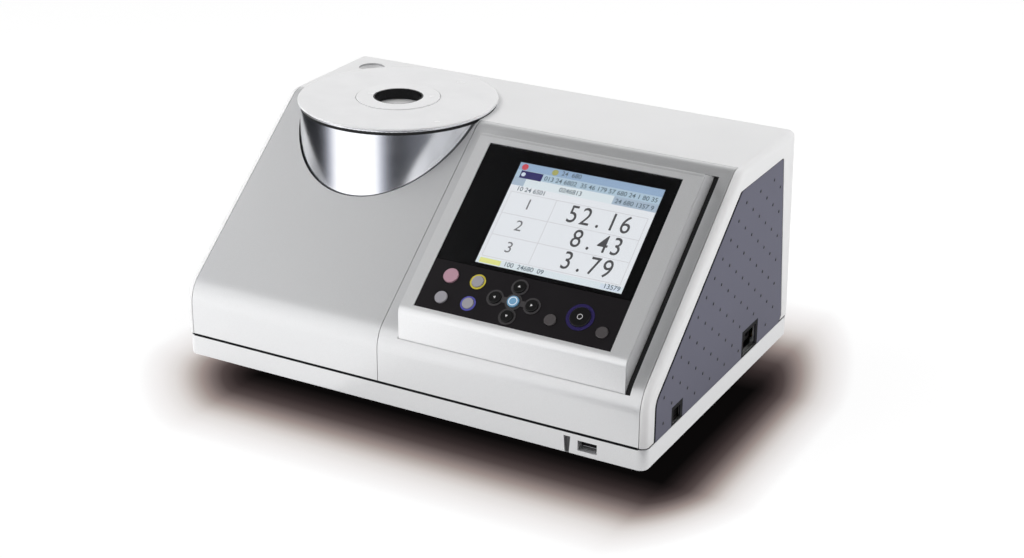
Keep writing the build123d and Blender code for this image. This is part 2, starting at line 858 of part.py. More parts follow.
def sphere_half(upper):
    z = sphere_z
    ball = Pos(stage_x, stage_y, z) * Sphere(sphere_radius)
    hollow = Pos(stage_x, stage_y, z) * Sphere(sphere_radius - sphere_wall)
    sign = 1 if upper else -1
    z0, z1 = sorted((z, z + sign * 2 * sphere_radius))
    keep = rod(stage_x, stage_y, z0, z1, 2 * sphere_radius)
    f0, f1 = sorted((z, z + sign * sphere_flange))
    rim = rod(stage_x, stage_y, f0, f1, sphere_flange_radius)
    half = (ball & keep) + rim - hollow
    if upper:
        return half - rod(stage_x, stage_y, z, 2 * top_height, sample_port_radius)
    half -= lamp_snout(lamp_port_radius + 0.3)
    return half - receiver_rod(barrel_radius + 0.3)


def lamp_snout(radius):
    """Light tube from the lamp box into the sphere's wall."""
    drop = sphere_z - lamp_z
    x0 = stage_x + math.sqrt((sphere_radius - sphere_wall) ** 2 - drop ** 2) - 0.5
    x1 = lamp_box_x + lamp_wall
    return Location(((x0 + x1) / 2, stage_y, lamp_z), (0, 90, 0)) * Cylinder(radius, x1 - x0)


def lamp_housing():
    y0, y1 = stage_y - lamp_box_width / 2, stage_y + lamp_box_width / 2
    z1 = deck_height - seat_gap
    z0 = 2 * lamp_z - z1
    x1 = lamp_box_x + lamp_box_length
    box = block(lamp_box_x, x1, y0, y1, z0, z1)
    inner = block(
        lamp_box_x + lamp_wall, x1 - lamp_wall,
        y0 + lamp_wall, y1 - lamp_wall, z0 + lamp_wall, z1 - lamp_wall,
    )
    return box + lamp_snout(lamp_port_radius) - inner - lamp_snout(lamp_port_radius - 1.5)


def xenon_lamp():
    length = lamp_box_width - 2 * lamp_wall - 2 * seat_gap
    place = Location((lamp_box_x + lamp_box_length / 2, stage_y, lamp_z), (90, 0, 0))
    return place * Cylinder(lamp_radius, length)


def receiver_rod(radius):
    """Tilted rod through the foot of the sphere, where the receiving lens looks up."""
    z = sphere_z
    length = mirror_space + barrel_lap - barrel_clearance
    middle = sphere_radius + length / 2 - barrel_lap
    return Pos(stage_x, stage_y, z) * Rot(barrel_tilt, 0, 0) * Pos(0, 0, -middle) * Cylinder(radius, length)


def receiver_barrel():
    barrel = receiver_rod(barrel_radius) - receiver_rod(barrel_radius - barrel_wall)
    top = mirror_top + seat_gap
    return above(barrel, top)


def fold_mirror_block():
    low = chassis_top + seat_gap
    half = mirror_size / 2
    body = block(stage_x - half, stage_x + half, stage_y - half, stage_y + half + 6, low, mirror_top)
    body -= Location((stage_x + half, stage_y, relay_z), (0, 90, 0)) * Cylinder(relay_radius + 0.2, 12)
    return body


def relay_tube():
    x0 = stage_x + mirror_size / 2 - 5
    x1 = spectrometer_x - seat_gap
    place = Location(((x0 + x1) / 2, stage_y, relay_z), (0, 90, 0))
    return place * (Cylinder(relay_radius, x1 - x0) - Cylinder(relay_radius - relay_wall, x1 - x0))


def spectrometer_case():
    low = chassis_top + seat_gap
    x0, x1 = spectrometer_x, spectrometer_x + spectrometer_length
    y0, y1 = spectrometer_y - spectrometer_width / 2, spectrometer_y + spectrometer_width / 2
    case = block(x0, x1, y0, y1, low, low + spectrometer_height)
    case = fillet(case.edges().filter_by(Axis.Z), 6)
    wall = spectrometer_wall
    case -= block(x0 + wall, x1 - wall, y0 + wall, y1 - wall, low + wall, low + spectrometer_height + 1)
    entry = Location((x0, spectrometer_y, relay_z), (0, 90, 0)) * Cylinder(relay_radius - relay_wall, 3 * wall)
    return case - entry


def spectrometer_lid():
    low = chassis_top + seat_gap + spectrometer_height + seat_gap
    x0, x1 = spectrometer_x, spectrometer_x + spectrometer_length
    y0, y1 = spectrometer_y - spectrometer_width / 2, spectrometer_y + spectrometer_width / 2
    lid = block(x0, x1, y0, y1, low, low + spectrometer_lid_height)
    return fillet(lid.edges().filter_by(Axis.Z), 6)


# ---- stage ---------------------------------------------------------------------
def ring(z0, z1, outer, inner):
    return rod(stage_x, stage_y, z0, z1, outer) - rod(stage_x, stage_y, z0 - 1, z1 + 1, inner)


def trim_low():
    return stage_top - stage_edge - trim_height


def drum_top():
    return trim_low() - gasket_height


def drum_skirt():
    low = deck_top + seat_gap
    top = drum_top()
    wall = ring(low, top, drum_radius, drum_radius - drum_wall)
    flange = ring(top - drum_wall, top, drum_radius, drum_radius - drum_flange)
    return wall + flange


def stage_gasket():
    return ring(drum_top(), trim_low(), gasket_radius, drum_radius - drum_flange + 1)


def stage_trim_ring():
    """Bright bead between the white plate and the gasket."""
    bead = ring(trim_low(), stage_top - stage_edge, trim_radius, trim_radius - trim_width)
    outer = bead.edges().filter_by(GeomType.CIRCLE).sort_by(SortBy.RADIUS)[-2:]
    return fillet(outer, trim_round)


def stage_plate():
    """White plate with a recess for the target mask and a hub that centres it."""
    low = stage_top - stage_edge
    plate = rod(stage_x, stage_y, low, stage_top, stage_radius)
    rim = plate.edges().filter_by(GeomType.CIRCLE).sort_by(Axis.Z)[-1]
    plate = fillet(rim, stage_rim_radius)
    plate += rod(stage_x, stage_y, trim_low(), low + 0.2, trim_radius - trim_width - seat_gap)
    hub_low = stage_top - window_drop + seat_gap
    plate += rod(stage_x, stage_y, hub_low, trim_low() + 0.1, plate_hub_radius)
    seat = stage_top + mask_rise - mask_thickness - seat_gap
    plate -= rod(stage_x, stage_y, seat, stage_top + 1, mask_radius + mask_groove)
    return plate - rod(stage_x, stage_y, 0, 2 * top_height, mask_hole_radius + collar_wall + 0.3)


def target_mask():
    high = stage_top + mask_rise
    mask = ring(high - mask_thickness, high, mask_radius, mask_hole_radius + collar_wall)
    rim = mask.edges().filter_by(GeomType.CIRCLE).sort_by(Axis.Z)[-2:].sort_by(SortBy.RADIUS)[-1]
    return fillet(rim, mask_round)


def mask_collar():
    outer = mask_hole_radius + collar_wall
    high = stage_top + mask_rise - 0.2
    return ring(stage_top - collar_depth, high, outer - 0.01, mask_hole_radius)


def port_window():
    top = stage_top - window_drop
    return rod(stage_x, stage_y, top - window_thickness, top, window_radius)


def port_seat():
    """Neck on the upper half of the sphere that carries the port window."""
    z = sphere_z
    low = z + math.sqrt(sphere_radius ** 2 - sample_port_radius ** 2) - 2.0
    high = stage_top - window_drop - window_thickness - seat_gap
    return ring(low, high, window_radius, sample_port_radius)


def sphere_upper():
    return sphere_half(True) + port_seat()


def sphere_lower():
    return sphere_half(False)


# ---- display block ---------------------------------------------------------------
def end_s(n, trim=0.0):
    """Place of the block's leaning top end, at n outside the slope."""
    return block_top - trim + block_end_lean * (block_rise - n)


def display_form(skin, top_trim, depth):
    """Side outline of the display block, drawn in by skin at its face and its front."""
    front = block_front + skin
    face_n = block_rise - skin
    corners = [
        (front, height_at(front, -depth)),
        (front, height_at(front, face_n)),
        slope_point(end_s(face_n, top_trim), face_n),
        slope_point(end_s(-depth, top_trim), -depth),
    ]
    face = make_face(Polyline(*corners, close=True))
    return fillet(nearest_vertex(face, corners[1]), block_bend - skin)


def glass_opening(clearance):
    return slope_block(
        glass_x0 + clearance, glass_x1 - clearance,
        glass_s0 + clearance, glass_s1 - clearance, 0, block_rise + 5,
    )


def display_bezel():
    skin = across(display_form(0, 0, block_depth), block_x0, block_x1)
    skin -= across(display_form(bezel_skin, -5, block_depth + 5), block_x0, block_x1)
    end = block_top - block_lip - seat_gap
    skin &= slope_block(block_x0, block_x1, -40, end, -block_depth - 8, block_rise + 1)
    return skin - glass_opening(0)


def display_housing():
    outer = across(display_form(bezel_skin + seat_gap, 0, block_depth), block_x0, block_x1)
    lip = across(display_form(0, 0, 0), block_x0, block_x1)
    lip &= slope_block(block_x0, block_x1, block_top - block_lip, slope_length, 0, block_rise + 1)
    body = outer + fillet(lip.edges().filter_by(Axis.X).group_by(Axis.Z)[-1], lip_round)
    wall = block_wall
    inner = display_form(bezel_skin + wall, wall, block_depth + 5)
    body -= across(inner, block_x0 + wall, block_x1 - wall)
    body -= slope_block(
        block_x0 + wall, block_x1 - wall, glass_s0 - 1,
        block_top - block_lip - wall, 0, block_rise + 1,
    )
    for x0 in (block_x0 - 1, block_x1 - groove_depth):
        groove = display_form(bezel_skin, block_lip, block_depth + 5)
        groove -= display_form(bezel_skin + bezel_groove, block_lip - 10, block_depth + 10)
        body -= across(groove, x0, x0 + groove_depth + 1)
    return body + display_flange()


def display_flange():
    """Flange that holds the block against the inside of the right front cover."""
    n1 = -front_wall - seat_gap
    n0 = n1 - flange_thickness
    s0 = flange_low_s
    s1 = end_s(n1)
    x0 = block_x0 - flange_width
    x1 = block_x1 + flange_width
    rim = slope_block(x0, x1, s0, s1, n0, n1)
    return rim - slope_block(
        block_x0 + block_wall, block_x1 - block_wall, s0 - 1, s1 - block_wall, n0 - 1, n1 + 1,
    )


def display_gasket():
    """Black rubber strip in the wide joint between the block and the right front cover."""
    x0 = block_x1 + seat_gap
    x1 = block_x1 + block_right_gap - seat_gap
    strip = across(side_profile(strip_sink), x0, x1) - across(side_profile(front_wall), x0 - 1, x1 + 1)
    return strip & across(display_form(0, 0, block_depth), x0, x1)


def face_top():
    return block_rise - glass_sink


def display_glass():
    n1 = face_top()
    return slope_block(
        glass_x0 + glass_clearance, glass_x1 - glass_clearance,
        glass_split + glass_clearance / 2, glass_s1 - glass_clearance,
        n1 - glass_thickness, n1,
    )


def window_mask():
    """Black printed sheet behind the glass, open over the picture."""
    n1 = face_top() - glass_thickness - seat_gap
    sheet = slope_block(
        glass_x0 - mask_sheet_lap, glass_x1 + mask_sheet_lap,
        glass_split + glass_clearance, glass_s1 + mask_sheet_lap, n1 - mask_sheet, n1,
    )
    margin = lcd_view_margin
    return sheet - slope_block(
        lcd_x - lcd_width / 2 - margin, lcd_x + lcd_width / 2 + margin,
        lcd_s - lcd_height / 2 - margin, lcd_s + lcd_height / 2 + margin, 0, block_rise,
    )


def lcd_module():
    n1 = face_top() - glass_thickness - mask_sheet - 2 * seat_gap
    x0, x1 = lcd_x - lcd_width / 2 - lcd_frame_x, lcd_x + lcd_width / 2 + lcd_frame_x
    s0, s1 = lcd_s - lcd_height / 2 - lcd_frame_s, lcd_s + lcd_height / 2 + lcd_frame_s
    return slope_block(x0, x1, s0, s1, n1 - lcd_thickness, n1)


def keypad_low():
    return face_top() - keypad_thickness


def keypad_panel():
    n1 = face_top()
    panel = slope_block(
        glass_x0 + glass_clearance, glass_x1 - glass_clearance,
        glass_s0 + glass_clearance, glass_split - glass_clearance / 2,
        keypad_low(), n1,
    )
    board_top = keypad_board_n + board_thickness
    for x in (glass_x0 + keypad_post_inset, glass_x1 - keypad_post_inset):
        for s in (glass_s0 + 5, glass_split - 5):
            panel += slope_rod(x, s, board_top + seat_gap, keypad_low() + 0.1, keypad_post_radius)
    for x, s, radius in keys.values():
        panel -= slope_rod(x, s, keypad_low() - 1, n1 + 1, radius + key_clearance)
    return panel


def keypad_board():
    """Circuit board under the keys, with a dome switch below each one."""
    top = keypad_board_n + board_thickness
    plate = slope_block(
        glass_x0 + 2, glass_x1 - 2, glass_s0 + 1.5, glass_split - 1.5, keypad_board_n, top,
    )
    for x, s, radius in keys.values():
        plate += slope_rod(x, s, top - 0.1, top + dome_height, dome_radius)
    return plate


def key(name):
    x, s, radius = keys[name]
    flange_top = keypad_low() - key_clearance
    flange_low = flange_top - key_flange_height
    dome_top = keypad_board_n + board_thickness + dome_height
    top = face_top() + key_proud + (pad_height if name in pad_keys else 0)
    cap = Cylinder(radius, top - flange_low)
    rim = cap.edges().filter_by(GeomType.CIRCLE).sort_by(Axis.Z)[-1]
    cap = Pos(0, 0, (top + flange_low) / 2) * fillet(rim, key_crown)
    collar = Pos(0, 0, (flange_top + flange_low) / 2) * Cylinder(radius + key_flange, key_flange_height)
    stem_low = dome_top + key_travel + key_slack
    stem = Pos(0, 0, (stem_low + flange_low) / 2) * Cylinder(key_stem_radius, flange_low - stem_low + 0.02)
    return slope_plane * Pos(x, s, 0) * (cap + collar + stem)


def key_ring(name, width):
    x, s, radius = keys[name]
    inner = radius + ring_clearance
    n0 = face_top()
    rim = slope_rod(x, s, n0, n0 + ring_height, inner + width)
    return rim - slope_rod(x, s, n0 - 1, n0 + 1, inner)


def dpad_bezel():
    """Four-lobed surround of the arrow keys."""
    n0 = face_top()
    plate = Part()
    for name in pad_keys:
        x, s, radius = keys[name]
        plate += slope_rod(x, s, n0, n0 + pad_height, pad_lobe_radius)
    for name in pad_keys:
        x, s, radius = keys[name]
        plate -= slope_rod(x, s, n0 - 1, n0 + 2, radius + key_clearance)
    arm_x, arm_s, half = pad_pitch_x, pad_pitch_s, pad_arm / 2
    bars = slope_block(pad_x - arm_x, pad_x + arm_x, pad_s - half, pad_s + half, n0, n0 + pad_height)
    bars += slope_block(pad_x - half, pad_x + half, pad_s - arm_s, pad_s + arm_s, n0, n0 + pad_height)
    for name in pad_keys:
        x, s, radius = keys[name]
        bars -= slope_rod(x, s, n0 - 1, n0 + 2, radius + key_clearance)
    return plate + bars


# ---- all sub-parts -------------------------------------------------------------
nodes = {
    "upper_housing": upper_housing,
    "left_front_cover": left_front_cover,
    "right_front_cover": right_front_cover,
    "bottom_tray": bottom_tray,
    "seam_seal": seam_seal,
    "left_side_panel": lambda: side_panel(-1),
    "right_side_panel": lambda: side_panel(1),
    "tray_screws": tray_screws,
    "rubber_feet": rubber_feet,
    "chassis_plate": chassis_plate,
    "main_board": main_board,
    "power_board": power_board,
    "board_standoffs": board_standoffs,
    "flash_capacitor": flash_capacitor,
    "usb_a_socket": usb_a_socket,
    "usb_b_socket": usb_b_socket,
    "dc_jack": dc_jack,
    "switch_body": switch_body,
    "switch_rocker": switch_rocker,
    "optical_deck": optical_deck,
    "sphere_lower": sphere_lower,
    "sphere_upper": sphere_upper,
    "lamp_housing": lamp_housing,
    "xenon_lamp": xenon_lamp,
    "receiver_barrel": receiver_barrel,
    "fold_mirror_block": fold_mirror_block,
    "relay_tube": relay_tube,
    "spectrometer_case": spectrometer_case,
    "spectrometer_lid": spectrometer_lid,
    "drum_skirt": drum_skirt,
    "stage_gasket": stage_gasket,
    "stage_trim_ring": stage_trim_ring,
    "stage_plate": stage_plate,
    "target_mask": target_mask,
    "mask_collar": mask_collar,
    "port_window": port_window,
    "display_housing": display_housing,
    "display_bezel": display_bezel,
    "display_gasket": display_gasket,
    "display_glass": display_glass,
    "window_mask": window_mask,
    "lcd_module": lcd_module,
    "keypad_panel": keypad_panel,
    "keypad_board": keypad_board,
    "dpad_bezel": dpad_bezel,
}
for ringed, (ring_node, ring_width) in ringed_keys.items():
    nodes[ring_node] = lambda n=ringed, w=ring_width: key_ring(n, w)
for key_name in keys:
    nodes[key_name] = lambda n=key_name: key(n)

os.makedirs("parts", exist_ok=True)
for node, make in nodes.items():
    export_step(make(), f"parts/{node}.step")
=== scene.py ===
import json
import math

import bmesh
import bpy
from mathutils import Matrix, Vector
from mathutils.bvhtree import BVHTree


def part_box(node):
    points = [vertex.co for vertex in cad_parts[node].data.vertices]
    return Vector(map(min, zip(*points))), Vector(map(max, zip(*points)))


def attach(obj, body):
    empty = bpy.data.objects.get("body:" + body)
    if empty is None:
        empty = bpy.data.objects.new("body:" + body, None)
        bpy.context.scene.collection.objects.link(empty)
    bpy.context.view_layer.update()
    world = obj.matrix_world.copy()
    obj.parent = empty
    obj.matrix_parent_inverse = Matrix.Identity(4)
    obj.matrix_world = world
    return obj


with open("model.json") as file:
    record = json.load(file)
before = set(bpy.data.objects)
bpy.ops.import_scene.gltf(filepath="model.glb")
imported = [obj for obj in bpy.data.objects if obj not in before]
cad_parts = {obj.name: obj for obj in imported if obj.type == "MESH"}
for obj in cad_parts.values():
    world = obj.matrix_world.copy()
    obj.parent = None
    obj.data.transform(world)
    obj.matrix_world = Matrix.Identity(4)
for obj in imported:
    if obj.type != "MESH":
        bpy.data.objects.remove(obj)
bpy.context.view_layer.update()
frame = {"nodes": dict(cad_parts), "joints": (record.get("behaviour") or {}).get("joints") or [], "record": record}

scene = bpy.context.scene
nodes = frame["nodes"]

# Places on the sloping front are given as (across, up the slope, out of the slope), in metres.
keyAxis = next(j["axis"] for j in frame["joints"] if j["name"] == "measure_key_press")
outward = -Vector(keyAxis).normalized()
upSlope = Vector((1, 0, 0)).cross(outward) * -1
slopeStart = Vector((0, -0.1305, 0.0588))      # foot of the slope's plane, above the front edge


def fromSlope(x, s, n):
    return slopeStart + Vector((x, 0, 0)) + upSlope * s + outward * n


def slopeBox(name):
    # lowest and highest corner of a node, measured along the slope
    low, high = [math.inf] * 3, [-math.inf] * 3
    for vertex in nodes[name].data.vertices:
        away = vertex.co - slopeStart
        place = (away.x, away.dot(upSlope), away.dot(outward))
        low = [min(a, b) for a, b in zip(low, place)]
        high = [max(a, b) for a, b in zip(high, place)]
    return low, high


def slopeMatrix(x, s, n):
    turned = Matrix((Vector((1, 0, 0)), upSlope, outward)).transposed().to_4x4()
    return Matrix.Translation(fromSlope(x, s, n)) @ turned


# ---------- camera ----------
cameraView = {
    "place": (0.66905, -1.19205, 0.65063),
    "yaw": 28.67,                # degrees, to the left
    "pitch": 23.43,              # degrees, down
    "roll": 0.39,
    "focalPixels": 1945.7,
    "imageWidth": 1024,
    "sensorWidth": 36,           # millimetres, as Blender counts it
    "clipStart": 0.05,
}


def addCamera(view):
    yaw, pitch, roll = (math.radians(view[k]) for k in ("yaw", "pitch", "roll"))
    ahead = Vector((-math.sin(yaw) * math.cos(pitch), math.cos(yaw) * math.cos(pitch), -math.sin(pitch)))
    side = Vector((math.cos(yaw), math.sin(yaw), 0))
    above = side.cross(ahead)
    right = side * math.cos(roll) + above * math.sin(roll)
    up = above * math.cos(roll) - side * math.sin(roll)
    camera = bpy.data.cameras.new("photoCamera")
    camera.sensor_width = view["sensorWidth"]
    camera.lens = view["focalPixels"] / view["imageWidth"] * view["sensorWidth"]
    camera.clip_start = view["clipStart"]
    holder = bpy.data.objects.new("photoCamera", camera)
    turned = Matrix((right, up, -ahead)).transposed().to_4x4()
    holder.matrix_world = Matrix.Translation(view["place"]) @ turned
    scene.collection.objects.link(holder)
    scene.camera = holder


addCamera(cameraView)
print("camera placed")

# ---------- light, floor and background ----------
studio = {
    "floorHalf": 3.0,
    "floorColour": (0.90, 0.90, 0.90),
    "floorGlow": 0.80,            # how much of the paper's white is plain background
    "worldLow": 0.36,             # level of the surroundings at the horizon
    "worldHigh": 0.34,            # level straight overhead
}
# The painted soft shadow on the floor is full inside this rectangle and gone past its reach, in metres.
shadowShape = {
    "right": (0.2047, 0.0740),    # edge, and reach beyond it
    "left": (-0.1300, -0.1071),
    "front": (-0.1287, -0.1133),
    "back": (0.0309, 0.1792),
    "corner": 1.41,               # 1 cuts the corners off, 2 makes them round
}
# share of the way out of the painted shadow, and the paper's colour there
shadowSteps = (
    (0.00, (0.0035, 0.0030, 0.0030)),
    (0.09, (0.014, 0.0105, 0.0105)),
    (0.18, (0.036, 0.026, 0.026)),
    (0.28, (0.085, 0.064, 0.062)),
    (0.36, (0.195, 0.157, 0.150)),
    (0.44, (0.345, 0.283, 0.265)),
    (0.51, (0.500, 0.450, 0.425)),
    (0.58, (0.680, 0.630, 0.610)),
    (0.65, (0.800, 0.770, 0.755)),
    (0.75, (0.910, 0.885, 0.880)),
    (0.87, (1.000, 0.990, 0.990)),
    (0.95, (1.070, 1.070, 1.070)),
)
# name, place, size, power in watts
lamps = (
    ("keyPanel", (-0.90, -0.35, 1.30), (0.9, 0.9), 9.0),
    ("backPanel", (0.50, 0.85, 1.20), (1.0, 1.0), 7.6),
    ("frontPanel", (-1.15, -1.25, 0.18), (1.2, 0.5), 15.0),
    ("rightPanel", (1.55, -0.10, 0.32), (0.9, 0.4), 6.0),
)


def addPanelLight(name, place, size, power, target=(0, 0, 0.08)):
    lamp = bpy.data.lights.new(name, "AREA")
    lamp.shape = "RECTANGLE"
    lamp.size, lamp.size_y = size
    lamp.energy = power
    holder = bpy.data.objects.new(name, lamp)
    away = Vector(target) - Vector(place)
    holder.matrix_world = Matrix.Translation(place) @ away.to_track_quat("-Z", "Y").to_matrix().to_4x4()
    holder.visible_glossy = False
    scene.collection.objects.link(holder)


def raySum(tree, path, names):
    # 1 where the ray is any of the named kinds
    total = path.outputs[names[0]]
    for name in names[1:]:
        more = tree.nodes.new("ShaderNodeMath")
        more.use_clamp = True
        tree.links.new(total, more.inputs[0])
        tree.links.new(path.outputs[name], more.inputs[1])
        total = more.outputs[0]
    return total


def addWorld(low, high):
    world = bpy.data.worlds.new("studioWorld")
    scene.world = world
    world.use_nodes = True
    tree = world.node_tree
    tree.nodes.clear()
    coords = tree.nodes.new("ShaderNodeTexCoord")
    split = tree.nodes.new("ShaderNodeSeparateXYZ")
    level = tree.nodes.new("ShaderNodeMapRange")
    level.inputs["To Min"].default_value = low
    level.inputs["To Max"].default_value = high
    soft = tree.nodes.new("ShaderNodeBackground")
    plain = tree.nodes.new("ShaderNodeBackground")
    mix = tree.nodes.new("ShaderNodeMixShader")
    out = tree.nodes.new("ShaderNodeOutputWorld")
    path = tree.nodes.new("ShaderNodeLightPath")
    seen = raySum(tree, path, ("Is Camera Ray", "Is Glossy Ray", "Is Transmission Ray"))
    tree.links.new(coords.outputs["Generated"], split.inputs[0])
    tree.links.new(split.outputs["Z"], level.inputs["Value"])
    tree.links.new(level.outputs[0], soft.inputs["Strength"])
    tree.links.new(seen, mix.inputs[0])
    tree.links.new(soft.outputs[0], mix.inputs[1])
    tree.links.new(plain.outputs[0], mix.inputs[2])
    tree.links.new(mix.outputs[0], out.inputs["Surface"])
    soft.inputs["Color"].default_value = (1, 1, 1, 1)
    plain.inputs["Color"].default_value = (1, 1, 1, 1)
    plain.inputs["Strength"].default_value = 1.0


def softShadow(tree, shape, steps):
    # painted shadow on the floor: how far a place is out of it, first along each side and then together
    place = tree.nodes.new("ShaderNodeTexCoord")
    split = tree.nodes.new("ShaderNodeSeparateXYZ")
    tree.links.new(place.outputs["Object"], split.inputs[0])
    shares = []
    for axis, sides in (("X", ("right", "left")), ("Y", ("front", "back"))):
        more = tree.nodes.new("ShaderNodeMath")
        more.operation = "MAXIMUM"
        for k, side in enumerate(sides):
            edge, reach = shape[side]
            out = tree.nodes.new("ShaderNodeMapRange")
            out.inputs["From Min"].default_value = edge
            out.inputs["From Max"].default_value = edge + reach
            tree.links.new(split.outputs[axis], out.inputs["Value"])
            tree.links.new(out.outputs[0], more.inputs[k])
        raised = tree.nodes.new("ShaderNodeMath")
        raised.operation = "POWER"
        raised.inputs[1].default_value = shape["corner"]
        tree.links.new(more.outputs[0], raised.inputs[0])
        shares.append(raised)
    both = tree.nodes.new("ShaderNodeMath")
    root = tree.nodes.new("ShaderNodeMath")
    root.operation = "POWER"
    root.inputs[1].default_value = 1 / shape["corner"]
    ramp = tree.nodes.new("ShaderNodeValToRGB")
    while len(ramp.color_ramp.elements) < len(steps):
        ramp.color_ramp.elements.new(0.5)
    for element, (level, colour) in zip(ramp.color_ramp.elements, steps):
        element.position = level
        element.color = (*colour, 1)
    tree.links.new(shares[0].outputs[0], both.inputs[0])
    tree.links.new(shares[1].outputs[0], both.inputs[1])
    tree.links.new(both.outputs[0], root.inputs[0])
    tree.links.new(root.outputs[0], ramp.inputs[0])
    return ramp.outputs[0]


def floorPaper(look, shape, steps):
    paper = bpy.data.materials.new("floorPaper")
    paper.use_nodes = True
    tree = paper.node_tree
    tree.nodes.remove(tree.nodes["Principled BSDF"])
    tone = softShadow(tree, shape, steps)
    # painted shadow: the floor's colour darkened by the shadow's tone, for camera and diffuse rays
    shadowedPaperColour = tree.nodes.new("ShaderNodeMix")
    shadowedPaperColour.data_type = "RGBA"
    shadowedPaperColour.blend_type = "MULTIPLY"
    shadowedPaperColour.inputs["Factor"].default_value = 1.0
    shadowedPaperColour.inputs["B"].default_value = (*look["floorColour"], 1)
    path = tree.nodes.new("ShaderNodeLightPath")
    gloss = raySum(tree, path, ("Is Glossy Ray", "Is Transmission Ray"))
    whiteGlow = tree.nodes.new("ShaderNodeEmission")
    tonedGlow = tree.nodes.new("ShaderNodeEmission")
    tonedPaper = tree.nodes.new("ShaderNodeBsdfDiffuse")
    share = tree.nodes.new("ShaderNodeMath")
    share.operation = "MULTIPLY"
    share.inputs[1].default_value = look["floorGlow"]
    inView = tree.nodes.new("ShaderNodeMixShader")
    both = tree.nodes.new("ShaderNodeMixShader")
    tree.links.new(tone, tonedGlow.inputs["Color"])
    tree.links.new(tone, shadowedPaperColour.inputs["A"])
    tree.links.new(shadowedPaperColour.outputs["Result"], tonedPaper.inputs["Color"])
    tree.links.new(path.outputs["Is Camera Ray"], share.inputs[0])
    tree.links.new(share.outputs[0], inView.inputs[0])
    tree.links.new(tonedPaper.outputs[0], inView.inputs[1])
    tree.links.new(tonedGlow.outputs[0], inView.inputs[2])
    tree.links.new(gloss, both.inputs[0])
    tree.links.new(inView.outputs[0], both.inputs[1])
    tree.links.new(whiteGlow.outputs[0], both.inputs[2])
    tree.links.new(both.outputs[0], tree.nodes["Material Output"].inputs["Surface"])
    return paper


def addStageMesh(name, points, faces, finish):
    mesh = bpy.data.meshes.new(name)
    mesh.from_pydata(points, [], faces)
    mesh.materials.append(finish)
    sheet = bpy.data.objects.new(name, mesh)
    scene.collection.objects.link(sheet)
    return sheet


def addFloor(look, shape, steps):
    h = look["floorHalf"]
    corners = [(-h, -h, 0), (h, -h, 0), (h, h, 0), (-h, h, 0)]
    addStageMesh("floor", corners, [(0, 1, 2, 3)], floorPaper(look, shape, steps))


# Cards that only show in glossy surfaces. The one overhead is bright at the left and dark at
# the right. The white one lies on the floor before the drum. The others are in strips: a shell
# stands at the left, clear of the instrument, and a dark fan lies on the floor at the right.
reflectors = {
    "overheadHeight": 1.25,
    "overheadX": (-1.6, 1.3),
    "overheadY": (-1.0, 1.0),
    "overheadFade": (-1.05, -0.50),
    "overheadLevels": (0.42, 0.055),
    "drumCentre": (-0.1002, 0.0290),
    "whiteHeight": 0.001,
    "whiteTurns": (-41, 12),      # degrees from the front, counted to the right
    "whiteReach": (0.17, 1.2),
    "whiteLevel": 1.3,
    "shellRadius": 0.24,
    "shellHeights": (0.058, 0.160),
    "fanHeight": 0.0015,
    "fanReach": (0.36, 0.85),
    "stripTurn": 2.5,             # degrees
    "stripTint": (0.94, 0.97, 1.10),
}
# grey levels of the shell and of the fan: degrees from the front, and level
cardTones = {
    "Shell": ((-120, 0.030), (-76, 0.020), (-58, 0.025), (-51, 0.10), (-45, 0.32), (-39, 0.90)),
    "Floor": ((9, 0.90), (14, 0.45), (20, 0.13), (26, 0.055), (34, 0.055), (44, 0.11), (70, 0.20)),
}


def cardFinish(name, colour, fade=None, levels=(1, 1), oneSided=False):
    finish = bpy.data.materials.new(name)
    finish.use_nodes = True
    tree = finish.node_tree
    tree.nodes.clear()
    glow = tree.nodes.new("ShaderNodeEmission")
    glow.inputs["Color"].default_value = (*colour, 1)
    out = tree.nodes.new("ShaderNodeOutputMaterial")
    tree.links.new(glow.outputs[0], out.inputs["Surface"])
    if fade:
        coords = tree.nodes.new("ShaderNodeTexCoord")
        split = tree.nodes.new("ShaderNodeSeparateXYZ")
        level = tree.nodes.new("ShaderNodeMapRange")
        level.interpolation_type = "SMOOTHSTEP"
        for socket, value in zip(("From Min", "From Max", "To Min", "To Max"), (*fade, *levels)):
            level.inputs[socket].default_value = value
        tree.links.new(coords.outputs["Object"], split.inputs[0])
        tree.links.new(split.outputs["X"], level.inputs["Value"])
        tree.links.new(level.outputs[0], glow.inputs["Strength"])
    if oneSided:
        # clear from outside, so that only the drum sees it
        side = tree.nodes.new("ShaderNodeNewGeometry")
        clear = tree.nodes.new("ShaderNodeBsdfTransparent")
        mix = tree.nodes.new("ShaderNodeMixShader")
        tree.links.new(side.outputs["Backfacing"], mix.inputs[0])
        tree.links.new(clear.outputs[0], mix.inputs[1])
        tree.links.new(glow.outputs[0], mix.inputs[2])
        tree.links.new(mix.outputs[0], out.inputs["Surface"])
    return finish


def onlyInGloss(card):
    card.visible_camera = False
    card.visible_diffuse = False
    card.visible_volume_scatter = False
    card.visible_shadow = False


def addCard(name, corners, finish):
    onlyInGloss(addStageMesh(name, corners, [(0, 1, 2, 3)], finish))


def aroundDrum(turn, radius, height, look):
    x, y = look["drumCentre"]
    turn = math.radians(turn)
    return x + radius * math.sin(turn), y - radius * math.cos(turn), height


def flatCard(turns, reach, height, look):
    # corners of a piece of a ring that lies on the floor
    (start, end), (near, far) = turns, reach
    corners = ((start, near), (start, far), (end, far), (end, near))
    return [aroundDrum(turn, radius, height, look) for turn, radius in corners]


def addOverheadCard(look):
    (x0, x1), (y0, y1), z = look["overheadX"], look["overheadY"], look["overheadHeight"]
    finish = cardFinish("overheadCard", (1, 1, 1), look["overheadFade"], look["overheadLevels"])
    addCard("overheadCard", [(x0, y0, z), (x1, y0, z), (x1, y1, z), (x0, y1, z)], finish)


